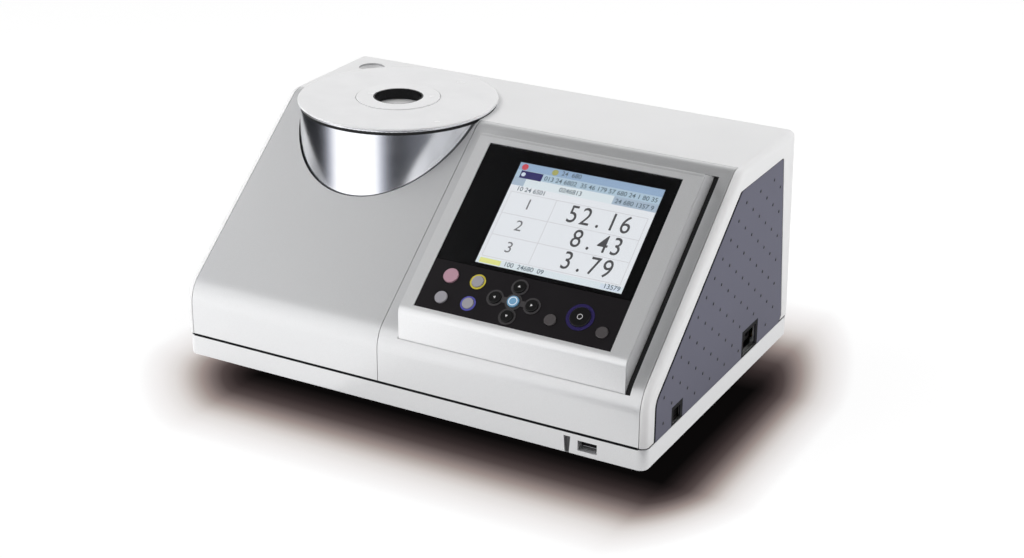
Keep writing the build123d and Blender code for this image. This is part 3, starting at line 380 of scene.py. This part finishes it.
def addToneStrips(side, tones, look):
    foot, top = look["shellHeights"]
    for part, ((low, first), (high, last)) in enumerate(zip(tones, tones[1:])):
        strips = max(1, round((high - low) / look["stripTurn"]))
        for k in range(strips):
            a, b = (low + (high - low) * (k + end) / strips for end in (0, 1))
            if side == "Shell":
                places = ((a, foot), (b, foot), (b, top), (a, top))
                corners = [aroundDrum(turn, look["shellRadius"], z, look) for turn, z in places]
            else:
                corners = flatCard((b, a), look["fanReach"], look["fanHeight"], look)
            level = first + (last - first) * (k + 0.5) / strips
            tone = [level * share for share in look["stripTint"]]
            strip = f"drumCard{side}{part}_{k}"
            addCard(strip, corners, cardFinish(strip, tone, oneSided=side == "Shell"))


def addReflectors(look, tones):
    addOverheadCard(look)
    corners = flatCard(look["whiteTurns"], look["whiteReach"], look["whiteHeight"], look)
    addCard("drumCardWhite", corners, cardFinish("drumCardWhite", [look["whiteLevel"]] * 3))
    for side in tones:
        addToneStrips(side, tones[side], look)


addWorld(studio["worldLow"], studio["worldHigh"])
addFloor(studio, shadowShape, shadowSteps)
addReflectors(reflectors, cardTones)
for lampName, lampPlace, lampSize, lampPower in lamps:
    addPanelLight(lampName, lampPlace, lampSize, lampPower)
scene.view_settings.view_transform = "Standard"
print("light and floor placed")


# ---------- finishes ----------
def newFinish(name, colour, roughness, metallic=0.0, specular=0.5):
    finish = bpy.data.materials.new(name)
    finish.use_nodes = True
    shader = finish.node_tree.nodes["Principled BSDF"]
    shader.inputs["Base Color"].default_value = (*colour, 1)
    shader.inputs["Roughness"].default_value = roughness
    shader.inputs["Metallic"].default_value = metallic
    shader.inputs["Specular IOR Level"].default_value = specular
    return finish


def noiseOf(finish, scale, detail=2.0):
    tree = finish.node_tree
    coords = tree.nodes.new("ShaderNodeTexCoord")
    noise = tree.nodes.new("ShaderNodeTexNoise")
    noise.inputs["Scale"].default_value = scale
    noise.inputs["Detail"].default_value = detail
    tree.links.new(coords.outputs["Object"], noise.inputs["Vector"])
    return noise


def addGrain(finish, scale, strength, depth=0.0001):
    # fine moulded or sprayed texture
    tree = finish.node_tree
    noise = noiseOf(finish, scale)
    bump = tree.nodes.new("ShaderNodeBump")
    bump.inputs["Strength"].default_value = strength
    bump.inputs["Distance"].default_value = depth
    tree.links.new(noise.outputs[0], bump.inputs["Height"])
    tree.links.new(bump.outputs[0], tree.nodes["Principled BSDF"].inputs["Normal"])


def addMottle(finish, scale, colour, other):
    # slow change between two close colours
    tree = finish.node_tree
    noise = noiseOf(finish, scale)
    ramp = tree.nodes.new("ShaderNodeValToRGB")
    for element, place, tone in zip(ramp.color_ramp.elements, (0.35, 0.65), (colour, other)):
        element.position = place
        element.color = (*tone, 1)
    tree.links.new(noise.outputs[0], ramp.inputs[0])
    tree.links.new(ramp.outputs[0], tree.nodes["Principled BSDF"].inputs["Base Color"])


def addRoughnessRange(finish, scale, low, high):
    tree = finish.node_tree
    noise = noiseOf(finish, scale, 4.0)
    level = tree.nodes.new("ShaderNodeMapRange")
    level.inputs["To Min"].default_value = low
    level.inputs["To Max"].default_value = high
    tree.links.new(noise.outputs[0], level.inputs["Value"])
    tree.links.new(level.outputs[0], tree.nodes["Principled BSDF"].inputs["Roughness"])


def shaded(colour, share):
    return tuple(c * share for c in colour)


def mouldedPlastic(name, colour, roughness=0.42, grain=0.12, specular=0.4):
    finish = newFinish(name, colour, roughness, specular=specular)
    addMottle(finish, 14, colour, shaded(colour, 0.975))
    addGrain(finish, 2600, grain)
    return finish


def metallicPaint(name, colour):
    # silver flakes under a thin clear coat
    finish = newFinish(name, colour, 0.34, metallic=0.55, specular=0.5)
    addMottle(finish, 5200, colour, shaded(colour, 0.90))
    addGrain(finish, 3800, 0.06)
    shader = finish.node_tree.nodes["Principled BSDF"]
    shader.inputs["Coat Weight"].default_value = 0.25
    shader.inputs["Coat Roughness"].default_value = 0.22
    return finish


def glossyPlastic(name, colour, roughness=0.22, specular=0.5):
    finish = newFinish(name, colour, roughness, specular=specular)
    addMottle(finish, 40, colour, shaded(colour, 0.96))
    addRoughnessRange(finish, 60, roughness * 0.85, roughness * 1.2)
    return finish


def bareMetal(name, colour, roughness=0.3):
    finish = newFinish(name, colour, roughness, metallic=1.0)
    addMottle(finish, 25, colour, shaded(colour, 0.94))
    addRoughnessRange(finish, 300, roughness * 0.8, roughness * 1.25)
    return finish


def turnedChrome(name, colour):
    # polished round the axis, so highlights stretch up and down the drum
    finish = newFinish(name, colour, 0.16, metallic=1.0)
    tree = finish.node_tree
    shader = tree.nodes["Principled BSDF"]
    shader.inputs["Anisotropic"].default_value = 0.75
    tangent = tree.nodes.new("ShaderNodeTangent")
    tangent.direction_type = "RADIAL"
    tangent.axis = "Z"
    tree.links.new(tangent.outputs[0], shader.inputs["Tangent"])
    addRoughnessRange(finish, 90, 0.13, 0.20)
    return finish


def clearPane(name, colour, roughness=0.0):
    finish = newFinish(name, colour, roughness)
    shader = finish.node_tree.nodes["Principled BSDF"]
    shader.inputs["Transmission Weight"].default_value = 1.0
    shader.inputs["IOR"].default_value = 1.45
    addRoughnessRange(finish, 30, roughness, roughness + 0.02)
    return finish


def litPicture(name, colour, strength=1.0):
    finish = newFinish(name, shaded(colour, 0.1), 0.5)
    shader = finish.node_tree.nodes["Principled BSDF"]
    shader.inputs["Emission Color"].default_value = (*colour, 1)
    shader.inputs["Emission Strength"].default_value = strength
    return finish


finishes = {
    "housing_white": mouldedPlastic("housingWhite", (0.83, 0.83, 0.835)),
    "silver_paint": metallicPaint("silverPaint", (0.77, 0.775, 0.785)),
    "side_grey": mouldedPlastic("sideGrey", (0.125, 0.126, 0.170), 0.55, 0.25, 0.15),
    "steel": bareMetal("platedSteel", (0.62, 0.62, 0.63)),
    "foot_rubber": mouldedPlastic("footRubber", (0.02, 0.02, 0.02), 0.8, 0.4),
    "sheet_metal": bareMetal("milledAluminium", (0.68, 0.68, 0.70), 0.4),
    "circuit_green": glossyPlastic("circuitGreen", (0.02, 0.13, 0.06), 0.4),
    "brass": bareMetal("turnedBrass", (0.60, 0.43, 0.16)),
    "capacitor_sleeve": glossyPlastic("capacitorSleeve", (0.02, 0.03, 0.12)),
    "black_plastic": mouldedPlastic("blackPlastic", (0.012, 0.012, 0.012), 0.5, 0.12, 0.15),
    "rocker_black": glossyPlastic("rockerBlack", (0.015, 0.015, 0.015)),
    "optics_black": mouldedPlastic("opticsBlack", (0.015, 0.015, 0.016), 0.85),
    "lamp_glass": clearPane("lampGlass", (0.95, 0.96, 1.0)),
    "drum_chrome": turnedChrome("drumChrome", (0.88, 0.89, 0.92)),
    "gasket_black": mouldedPlastic("gasketBlack", (0.010, 0.010, 0.011), 0.7),
    "stage_white": glossyPlastic("stageWhite", (0.82, 0.82, 0.83), 0.25),
    "mask_white": glossyPlastic("maskWhite", (0.84, 0.84, 0.85), 0.25),
    "collar_black": glossyPlastic("collarBlack", (0.006, 0.006, 0.007), 0.25, 0.2),
    "port_glass": glossyPlastic("portOpal", (0.84, 0.84, 0.84), 0.15),
    "display_grey": metallicPaint("displayBody", (0.78, 0.785, 0.795)),
    "display_silver": metallicPaint("displayFace", (0.86, 0.865, 0.875)),
    "window_glass": clearPane("windowGlass", (0.90, 0.90, 0.92)),
    "print_black": glossyPlastic("printBlack", (0.003, 0.003, 0.004), 0.3, 0.1),
    "lcd_dark": glossyPlastic("panelDark", (0.01, 0.012, 0.015), 0.3),
    "keypad_black": glossyPlastic("keypadBlack", (0.009, 0.0075, 0.009), 0.35, 0.35),
    "pad_grey": mouldedPlastic("padGrey", (0.045, 0.042, 0.044), 0.5),
    "ring_yellow": glossyPlastic("ringYellow", (0.60, 0.50, 0.05)),
    "ring_blue": glossyPlastic("ringBlue", (0.10, 0.10, 0.42)),
    "ring_violet": glossyPlastic("ringViolet", (0.022, 0.015, 0.085)),
    "pink": glossyPlastic("keyPink", (0.45, 0.26, 0.32)),
    "key_grey": glossyPlastic("keyGrey", (0.32, 0.31, 0.34)),
    "key_dark": glossyPlastic("keyDark", (0.075, 0.068, 0.07)),
    "key_black": glossyPlastic("keyBlack", (0.006, 0.006, 0.006), 0.3),
    "key_blue": glossyPlastic("keyBlue", (0.16, 0.35, 0.55)),
}
for part in frame["record"]["subparts"]:
    nodes[part["node"]].material_slots[0].material = finishes[part["material_slot"]]
print("finishes made:", len(finishes))


# ---------- small builders ----------
def addPiece(name, mesh, finish, body="instrument"):
    piece = bpy.data.objects.new(name, mesh)
    scene.collection.objects.link(piece)
    mesh.materials.clear()
    mesh.materials.append(finish)
    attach(piece, body)
    return piece


def slopeSheet(name, x0, x1, s0, s1, n, finish, body="instrument"):
    corners = [fromSlope(x, s, n) for x, s in ((x0, s0), (x1, s0), (x1, s1), (x0, s1))]
    mesh = bpy.data.meshes.new(name)
    mesh.from_pydata(corners, [], [(0, 1, 2, 3)])
    return addPiece(name, mesh, finish, body)


def slopeText(name, words, x, s, n, size, finish, align="LEFT", thicken=0.0):
    # x and s are the start, middle or end of the text's base line
    curve = bpy.data.curves.new(name, "FONT")
    curve.body = words
    curve.size = size
    curve.align_x = align
    curve.offset = thicken
    holder = bpy.data.objects.new(name, curve)
    scene.collection.objects.link(holder)
    bpy.context.view_layer.update()
    mesh = bpy.data.meshes.new_from_object(holder.evaluated_get(bpy.context.evaluated_depsgraph_get()))
    bpy.data.objects.remove(holder)
    mesh.transform(slopeMatrix(x, s, n))
    return addPiece(name, mesh, finish)


# ---------- the screen's picture ----------
# Places on the screen are shares of its width from the left and of its height from the top, and
# so are widths of lines. Sizes of digits, lifts and layers are in metres.
screen = {
    "frame": (0.0079, 0.0060),    # the panel's metal frame round its picture, in metres
    "lift": 0.00003,
    "layer": 0.00002,
    "headerEnd": 0.072,
    "tabsEnd": 0.145,
    "titleEnd": 0.225,
    "tableTop": 0.288,
    "tableEnd": 0.925,
    "columnSplit": 0.345,
    "tableLeft": 0.022,
    "tableRight": 0.968,
    "footTop": 0.940,
    "lineWidth": 0.0045,
    "values": ("52.16", "8.43", "3.79"),
    "labels": ("1", "2", "3"),
    "rowBase": 0.84,              # base line of a row, as a share of its height
    "valueEnd": 0.85,             # middle of a value's last digit
    "digitSize": 0.0205,
    "digitPitch": 0.0104,
    "digitWidth": 0.84,           # digits are made this much narrower
    "digitBold": 0.00003,
    "labelAt": 0.175,
    "labelRise": 0.035,
    "labelSize": 0.0125,
    "smallSize": 0.0052,
    "smallBold": 0.00006,
    "dotSides": 32,
}
screenInk = {
    "paper": litPicture("screenPaper", (0.88, 0.91, 0.93), 0.95),
    "header": litPicture("screenHeader", (0.32, 0.45, 0.62)),
    "tabs": litPicture("screenTabs", (0.46, 0.60, 0.70)),
    "title": litPicture("screenTitle", (0.76, 0.84, 0.86)),
    "navy": litPicture("screenNavy", (0.035, 0.03, 0.13)),
    "line": litPicture("screenLine", (0.62, 0.62, 0.64)),
    "digit": litPicture("screenDigit", (0.075, 0.075, 0.078)),
    "label": litPicture("screenLabel", (0.18, 0.18, 0.19)),
    "smallText": litPicture("screenSmallText", (0.10, 0.14, 0.17)),
    "red": litPicture("screenRed", (0.62, 0.08, 0.10)),
    "olive": litPicture("screenOlive", (0.42, 0.42, 0.14)),
    "yellow": litPicture("screenYellow", (0.80, 0.82, 0.28)),
    "blueGrey": litPicture("screenBlueGrey", (0.42, 0.52, 0.62)),
    "paleBlue": litPicture("screenPaleBlue", (0.70, 0.78, 0.86)),
}


def buildScreen(look):
    low, high = slopeBox("lcd_module")
    frameX, frameS = look["frame"]
    x0, x1 = low[0] + frameX, high[0] - frameX
    s0, s1 = low[1] + frameS, high[1] - frameS
    width, height = x1 - x0, s1 - s0
    base = high[2] + look["lift"]

    def across(u):
        return x0 + u * width

    def down(v):
        return s1 - v * height

    def sheet(name, u0, u1, v0, v1, layer, ink):
        n = base + layer * look["layer"]
        return slopeSheet(name, across(u0), across(u1), down(v1), down(v0), n, screenInk[ink])

    def text(name, words, u, v, size, layer, ink, align="LEFT", thicken=0.0):
        n = base + layer * look["layer"]
        return slopeText(name, words, across(u), down(v), n, size, screenInk[ink], align, thicken)

    def narrow(piece, x, share):
        for vertex in piece.data.vertices:
            vertex.co.x = x + (vertex.co.x - x) * share

    sheet("screenPaper", 0, 1, 0, 1, 0, "paper")
    sheet("screenHeader", 0, 1, 0, look["headerEnd"], 1, "header")
    sheet("screenTabs", 0, 1, look["headerEnd"], look["tabsEnd"], 1, "tabs")
    sheet("screenTitleLeft", 0, 0.085, look["tabsEnd"], look["titleEnd"], 1, "blueGrey")
    sheet("screenTitle", 0.085, 0.70, look["tabsEnd"], look["titleEnd"], 1, "title")
    sheet("screenTitleRight", 0.70, 1, look["tabsEnd"], look["titleEnd"], 1, "blueGrey")
    sheet("screenActiveTab", 0.03, 0.185, look["headerEnd"] + 0.004, look["tabsEnd"] + 0.004, 2, "navy")
    sheet("screenFoot", 0, 1, look["footTop"], 1, 1, "title")
    sheet("screenFootMark", 0.022, 0.168, look["footTop"] + 0.006, 0.992, 2, "yellow")
    sheet("screenFootBox", 0.85, 0.985, look["footTop"] + 0.006, 0.992, 2, "paleBlue")

    # table lines
    thin = look["lineWidth"]
    rows = len(look["values"])
    step = (look["tableEnd"] - look["tableTop"]) / rows
    for k in range(rows + 1):
        v = look["tableTop"] + k * step
        sheet(f"screenRowLine{k}", look["tableLeft"], look["tableRight"], v, v + thin, 2, "line")
    for k, u in enumerate((look["tableLeft"], look["columnSplit"], look["tableRight"])):
        sheet(f"screenColumnLine{k}", u, u + thin * 0.75, look["tableTop"], look["tableEnd"], 2, "line")
    for k, (value, label) in enumerate(zip(look["values"], look["labels"])):
        v = look["tableTop"] + (k + look["rowBase"]) * step
        for place, sign in enumerate(reversed(value)):
            u = look["valueEnd"] - place * look["digitPitch"] / width
            digit = text(f"screenValue{k}_{place}", sign, u, v, look["digitSize"], 3, "digit",
                         "CENTER", look["digitBold"])
            narrow(digit, across(u), look["digitWidth"])
        v -= look["labelRise"]
        text(f"screenLabel{k}", label, look["labelAt"], v, look["labelSize"], 3, "label", "CENTER")

    # small marks of the header
    for name, u, v, radius, ink in (
        ("screenRedDot", 0.042, 0.040, 0.0026, "red"),
        ("screenOliveDot", 0.255, 0.038, 0.0025, "olive"),
        ("screenTabDot", 0.052, 0.112, 0.0017, "paleBlue"),
    ):
        mesh = bpy.data.meshes.new(name)
        shape = bmesh.new()
        bmesh.ops.create_circle(shape, cap_ends=True, segments=look["dotSides"], radius=radius)
        shape.to_mesh(mesh)
        shape.free()
        mesh.transform(slopeMatrix(across(u), down(v), base + 3 * look["layer"]))
        addPiece(name, mesh, screenInk[ink])
    for name, words, u, v in (
        ("screenHeaderNumbers", "24  680", 0.30, 0.052),
        ("screenTabNumbers", "013 24 6802  35 46 179 57 680 24 1 80 35", 0.20, 0.130),
        ("screenTitleNumbers", "0246813", 0.33, 0.208),
        ("screenRightNumbers", "24 680 1357 9", 0.715, 0.208),
        ("screenRowNumbers", "10 24 6501", 0.05, 0.272),
        ("screenFootNumbers", "100  24680  09", 0.19, 0.984),
        ("screenBoxNumbers", "13579", 0.87, 0.982),
    ):
        text(name, words, u, v, look["smallSize"], 3, "smallText", "LEFT", look["smallBold"])


buildScreen(screen)
print("screen built")

# ---------- signs on the keys ----------
keySigns = {
    "lift": 0.00004,
    "arrowHalf": 0.0011,
    "arrowFoot": 0.6,             # share of that half, below the middle
    "selectRing": (0.0034, 0.0007),     # radius and width
    "measureRing": (0.0021, 0.00045),
    "ringSides": 40,
}
keyInk = glossyPlastic("keyInk", (0.62, 0.62, 0.62), 0.4)
paleInk = glossyPlastic("paleInk", (0.70, 0.80, 0.88), 0.4)


def keyTop(name):
    low, high = slopeBox(name)
    return (low[0] + high[0]) / 2, (low[1] + high[1]) / 2, high[2]


def addArrow(name, turn, look):
    x, s, n = keyTop(name)
    half = look["arrowHalf"]
    foot = -half * look["arrowFoot"]
    mesh = bpy.data.meshes.new(name + "_sign")
    mesh.from_pydata([(-half, foot, 0), (half, foot, 0), (0, half, 0)], [], [(0, 1, 2)])
    turned = Matrix.Rotation(math.radians(turn), 4, "Z")
    mesh.transform(slopeMatrix(x, s, n + look["lift"]) @ turned)
    addPiece(name + "_sign", mesh, keyInk, name + "_body")


def addRingSign(name, size, finish, look):
    x, s, n = keyTop(name)
    radius, width = size
    segments = look["ringSides"]
    points, faces = [], []
    for k in range(segments):
        turn = 2 * math.pi * k / segments
        for r in (radius - width, radius):
            points.append((r * math.cos(turn), r * math.sin(turn), 0))
    for k in range(segments):
        a, b = 2 * k, 2 * ((k + 1) % segments)
        faces.append((a, a + 1, b + 1, b))
    mesh = bpy.data.meshes.new(name + "_sign")
    mesh.from_pydata(points, [], faces)
    mesh.transform(slopeMatrix(x, s, n + look["lift"]))
    addPiece(name + "_sign", mesh, finish, name + "_body")


for arrowKey, turn in (("up_key", 0), ("left_key", 90), ("down_key", 180), ("right_key", 270)):
    addArrow(arrowKey, turn, keySigns)
addRingSign("select_key", keySigns["selectRing"], paleInk, keySigns)
addRingSign("measure_key", keySigns["measureRing"], keyInk, keySigns)
print("key signs built")

# ---------- dots of the side panels ----------
panelDots = {
    "pitchY": 0.0265,
    "pitchZ": 0.0196,
    "startY": 0.0033,
    "startZ": 0.1282,
    "radius": 0.0013,
    "rise": 0.00060,
    "parts": (14, 8),             # round the dot, and from foot to top
    "margin": 0.005,              # flat panel that a dot needs round it
    "rows": 20,                   # to each side of the start, more than fit
}


def addPanelDots(name, side, look):
    panel = nodes[name].data
    corners = [v.co.copy() for v in panel.vertices]
    tree = BVHTree.FromPolygons(corners, [tuple(p.vertices) for p in panel.polygons])
    low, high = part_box(name)
    faceX = high.x if side > 0 else low.x
    standOff, closeEnough = 0.01, 1e-4
    m = look["margin"]
    ringParts, heightParts = look["parts"]
    squash = Matrix.Diagonal((look["rise"] / look["radius"], 1, 1, 1))

    def onFace(y, z):
        start = Vector((faceX + side * standOff, y, z))
        hit = tree.ray_cast(start, Vector((-side, 0, 0)), 2 * standOff)[0]
        return hit is not None and abs(hit.x - faceX) < closeEnough

    shape = bmesh.new()
    places = range(-look["rows"], look["rows"] + 1)
    for i in places:
        for j in places:
            y = look["startY"] + i * look["pitchY"] / 2
            z = look["startZ"] + j * look["pitchZ"] / 2
            beside = ((y + m, z), (y - m, z), (y, z + m), (y, z - m))
            if (i + j) % 2 or not all(onFace(*place) for place in beside):
                continue
            made = bmesh.ops.create_uvsphere(shape, u_segments=ringParts, v_segments=heightParts,
                                             radius=look["radius"])
            at = Matrix.Translation((faceX, y, z))
            bmesh.ops.transform(shape, matrix=at @ squash, verts=made["verts"])
    mesh = bpy.data.meshes.new(name + "_dots")
    shape.to_mesh(mesh)
    shape.free()
    for face in mesh.polygons:
        face.use_smooth = True
    addPiece(name + "_dots", mesh, dotGrey)


dotGrey = mouldedPlastic("dotGrey", (0.030, 0.030, 0.042), 0.35)
addPanelDots("right_side_panel", 1, panelDots)
addPanelDots("left_side_panel", -1, panelDots)
print("panel dots built")

# ---------- painted shade in the gaps, the notches and the socket ---
paintedGapShade = {
    "seamFoot": 0.0209,           # parting line between tray and housing
    "seamTop": 0.0223,
    "seamInset": 0.0005,
    "seamCut": 0.0004,            # the tray's outline is taken this much below the line
    "seamFront": (0.0206, 0.0226),      # the front's own line, flush
    "proud": 0.00003,             # how far that line stands before the front
    "rimCut": 0.0010,             # a panel's outline is taken this much behind its face
    "rimWidth": 0.0034,
    "rimSink": 0.0002,
}
slotPlates = {
    "slotX": 0.1483,
    "slotZ": 0.0126,
    "mouthBehind": 0.0047,        # socket's mouth behind the tray's front
    "mouthHalf": 0.0066,
    "mouthLow": -0.0014,
    "mouthHigh": 0.0032,
    "notchX": 0.1326,
    "notchTop": (0.0051, 0.0178),       # width and height of the notch's upper end
    "notchFoot": (0.0031, 0.0046),
    "notchBehind": 0.0019,
    # grey of the painted shade in the grip notch
    "notchShadeGrey": (0.10, 0.10, 0.105),
}
# painted shade on the wall of the finger notch in the top
fingerNotch = {
    "centre": (-0.1668, 0.0950),
    "radius": 0.01044,
    "foot": 0.1706,
    "below": 0.0003,              # upper edge of the painted shade band, under the housing's top
    "grey": (0.40, 0.40, 0.41),
    "sides": 64,
}
# black for painted shade in the gaps and in the socket's mouth
gapShadeBlack = mouldedPlastic("gapShadeBlack", (0.006, 0.006, 0.007), 0.7, 0.3, 0.1)


def loopLength(points):
    return sum((a - b).length for a, b in zip(points, points[1:] + points[:1]))


def sectionLoop(name, point, normal):
    # longest outline that a plane cuts from a node, as points in order
    shape = bmesh.new()
    shape.from_mesh(nodes[name].data)
    bmesh.ops.remove_doubles(shape, verts=shape.verts, dist=1e-6)
    everything = shape.verts[:] + shape.edges[:] + shape.faces[:]
    cut = bmesh.ops.bisect_plane(shape, geom=everything, plane_co=point, plane_no=normal)["geom_cut"]
    near = {}
    for edge in (item for item in cut if isinstance(item, bmesh.types.BMEdge)):
        a, b = edge.verts
        near.setdefault(a, []).append(b)
        near.setdefault(b, []).append(a)
    loops = []
    while near:
        first = next(iter(near))
        loop, here = [first], first
        while near.get(here):
            after = near[here].pop()
            near[after].remove(here)
            if not near[here]:
                near.pop(here)
            if after is first:
                break
            loop.append(after)
            here = after
        near = {v: others for v, others in near.items() if others}
        loops.append([v.co.copy() for v in loop])
    shape.free()
    return max(loops, key=loopLength)


def grown(points, width, axis):
    # the outline moved outward in its own plane
    shortestSide, sharpestCorner = 1e-9, 0.5
    following = points[1:] + points[:1]
    middle = sum(points, Vector()) / len(points)
    area = sum((a - middle).cross(b - middle).dot(axis) for a, b in zip(points, following))
    facing = axis if area > 0 else -axis
    moved = []
    for before, point, after in zip(points[-1:] + points[:-1], points, following):
        sides = [side for side in (point - before, after - point) if side.length > shortestSide]
        outs = [side.cross(facing).normalized() for side in sides]
        out = sum(outs, Vector()).normalized()
        moved.append(point + out * width / max(sharpestCorner, out.dot(outs[0])))
    return moved


def addBand(name, inner, outer, finish):
    mesh = bpy.data.meshes.new(name)
    count = len(inner)
    faces = [(k, (k + 1) % count, count + (k + 1) % count, count + k) for k in range(count)]
    mesh.from_pydata(inner + outer, [], faces)
    return addPiece(name, mesh, finish)


def addPlate(name, corners, finish):
    mesh = bpy.data.meshes.new(name)
    mesh.from_pydata(corners, [], [tuple(range(len(corners)))])
    addPiece(name, mesh, finish)


def addSeamBand(look):
    # painted shade: a black band in the gap between tray and housing, all round
    up = Vector((0, 0, 1))
    outline = sectionLoop("bottom_tray", Vector((0, 0, look["seamFoot"] - look["seamCut"])), up)
    outline = grown(outline, -look["seamInset"], up)
    low = [Vector((p.x, p.y, look["seamFoot"])) for p in outline]
    high = [Vector((p.x, p.y, look["seamTop"])) for p in outline]
    addBand("seam_band", low, high, gapShadeBlack)
    # a plain line of painted shade where the front is straight, standing just before it
    straight = 0.0001
    inner = min(p.y for p in low)
    run = [p.x for p in low if p.y < inner + straight]
    left, right = min(run), max(run)
    foot, top = look["seamFront"]
    y = inner - look["seamInset"] - look["proud"]
    corners = [(left, y, foot), (right, y, foot), (right, y, top), (left, y, top)]
    addPlate("seam_line", corners, gapShadeBlack)


def addPanelGapShade(name, side, look):
    # painted shade: a black band round the side panel, in the gap of its pocket
    low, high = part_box(name)
    faceX = high.x if side > 0 else low.x
    axis = Vector((1, 0, 0))
    outline = sectionLoop(name, Vector((faceX - side * look["rimCut"], 0, 0)), axis)
    x = faceX - side * look["rimSink"]
    inner = [Vector((x, p.y, p.z)) for p in outline]
    addBand(name + "_gap_shade", inner, grown(inner, look["rimWidth"], axis), gapShadeBlack)


def addSlotPlates(look):
    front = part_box("bottom_tray")[0].y
    # painted shade: a black plate in the socket's mouth, where its cavity is dark
    x, y, z = look["slotX"], front + look["mouthBehind"], look["slotZ"]
    half, low, high = look["mouthHalf"], look["mouthLow"], look["mouthHigh"]
    across = (x - half, x + half)
    corners = [(x, y, z + low) for x in across] + [(x, y, z + high) for x in reversed(across)]
    addPlate("usb_mouth", corners, gapShadeBlack)
    # painted shade: a grey plate at the back of the grip notch in the tray's front
    x, y = look["notchX"], front + look["notchBehind"]
    (wide, top), (slim, foot) = look["notchTop"], look["notchFoot"]
    grey = mouldedPlastic("notchShadeGrey", look["notchShadeGrey"], 0.6)
    corners = [(x - slim / 2, y, foot), (x + slim / 2, y, foot)]
    corners += [(x + wide / 2, y, top), (x - wide / 2, y, top)]
    addPlate("grip_shade", corners, grey)


def addNotchShade(look):
    # painted shade on the wall of the finger notch in the top
    x, y = look["centre"]
    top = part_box("upper_housing")[1].z - look["below"]
    turns = [2 * math.pi * k / look["sides"] for k in range(look["sides"])]
    ring = [(x + look["radius"] * math.cos(a), y + look["radius"] * math.sin(a)) for a in turns]
    low = [Vector((*place, look["foot"])) for place in ring]
    high = [Vector((*place, top)) for place in ring]
    addBand("notch_shade", low, high, mouldedPlastic("notchWallShade", look["grey"], 0.5))


addSeamBand(paintedGapShade)
addNotchShade(fingerNotch)
addPanelGapShade("right_side_panel", 1, paintedGapShade)
addPanelGapShade("left_side_panel", -1, paintedGapShade)
addSlotPlates(slotPlates)
print("joints, notch and socket built")
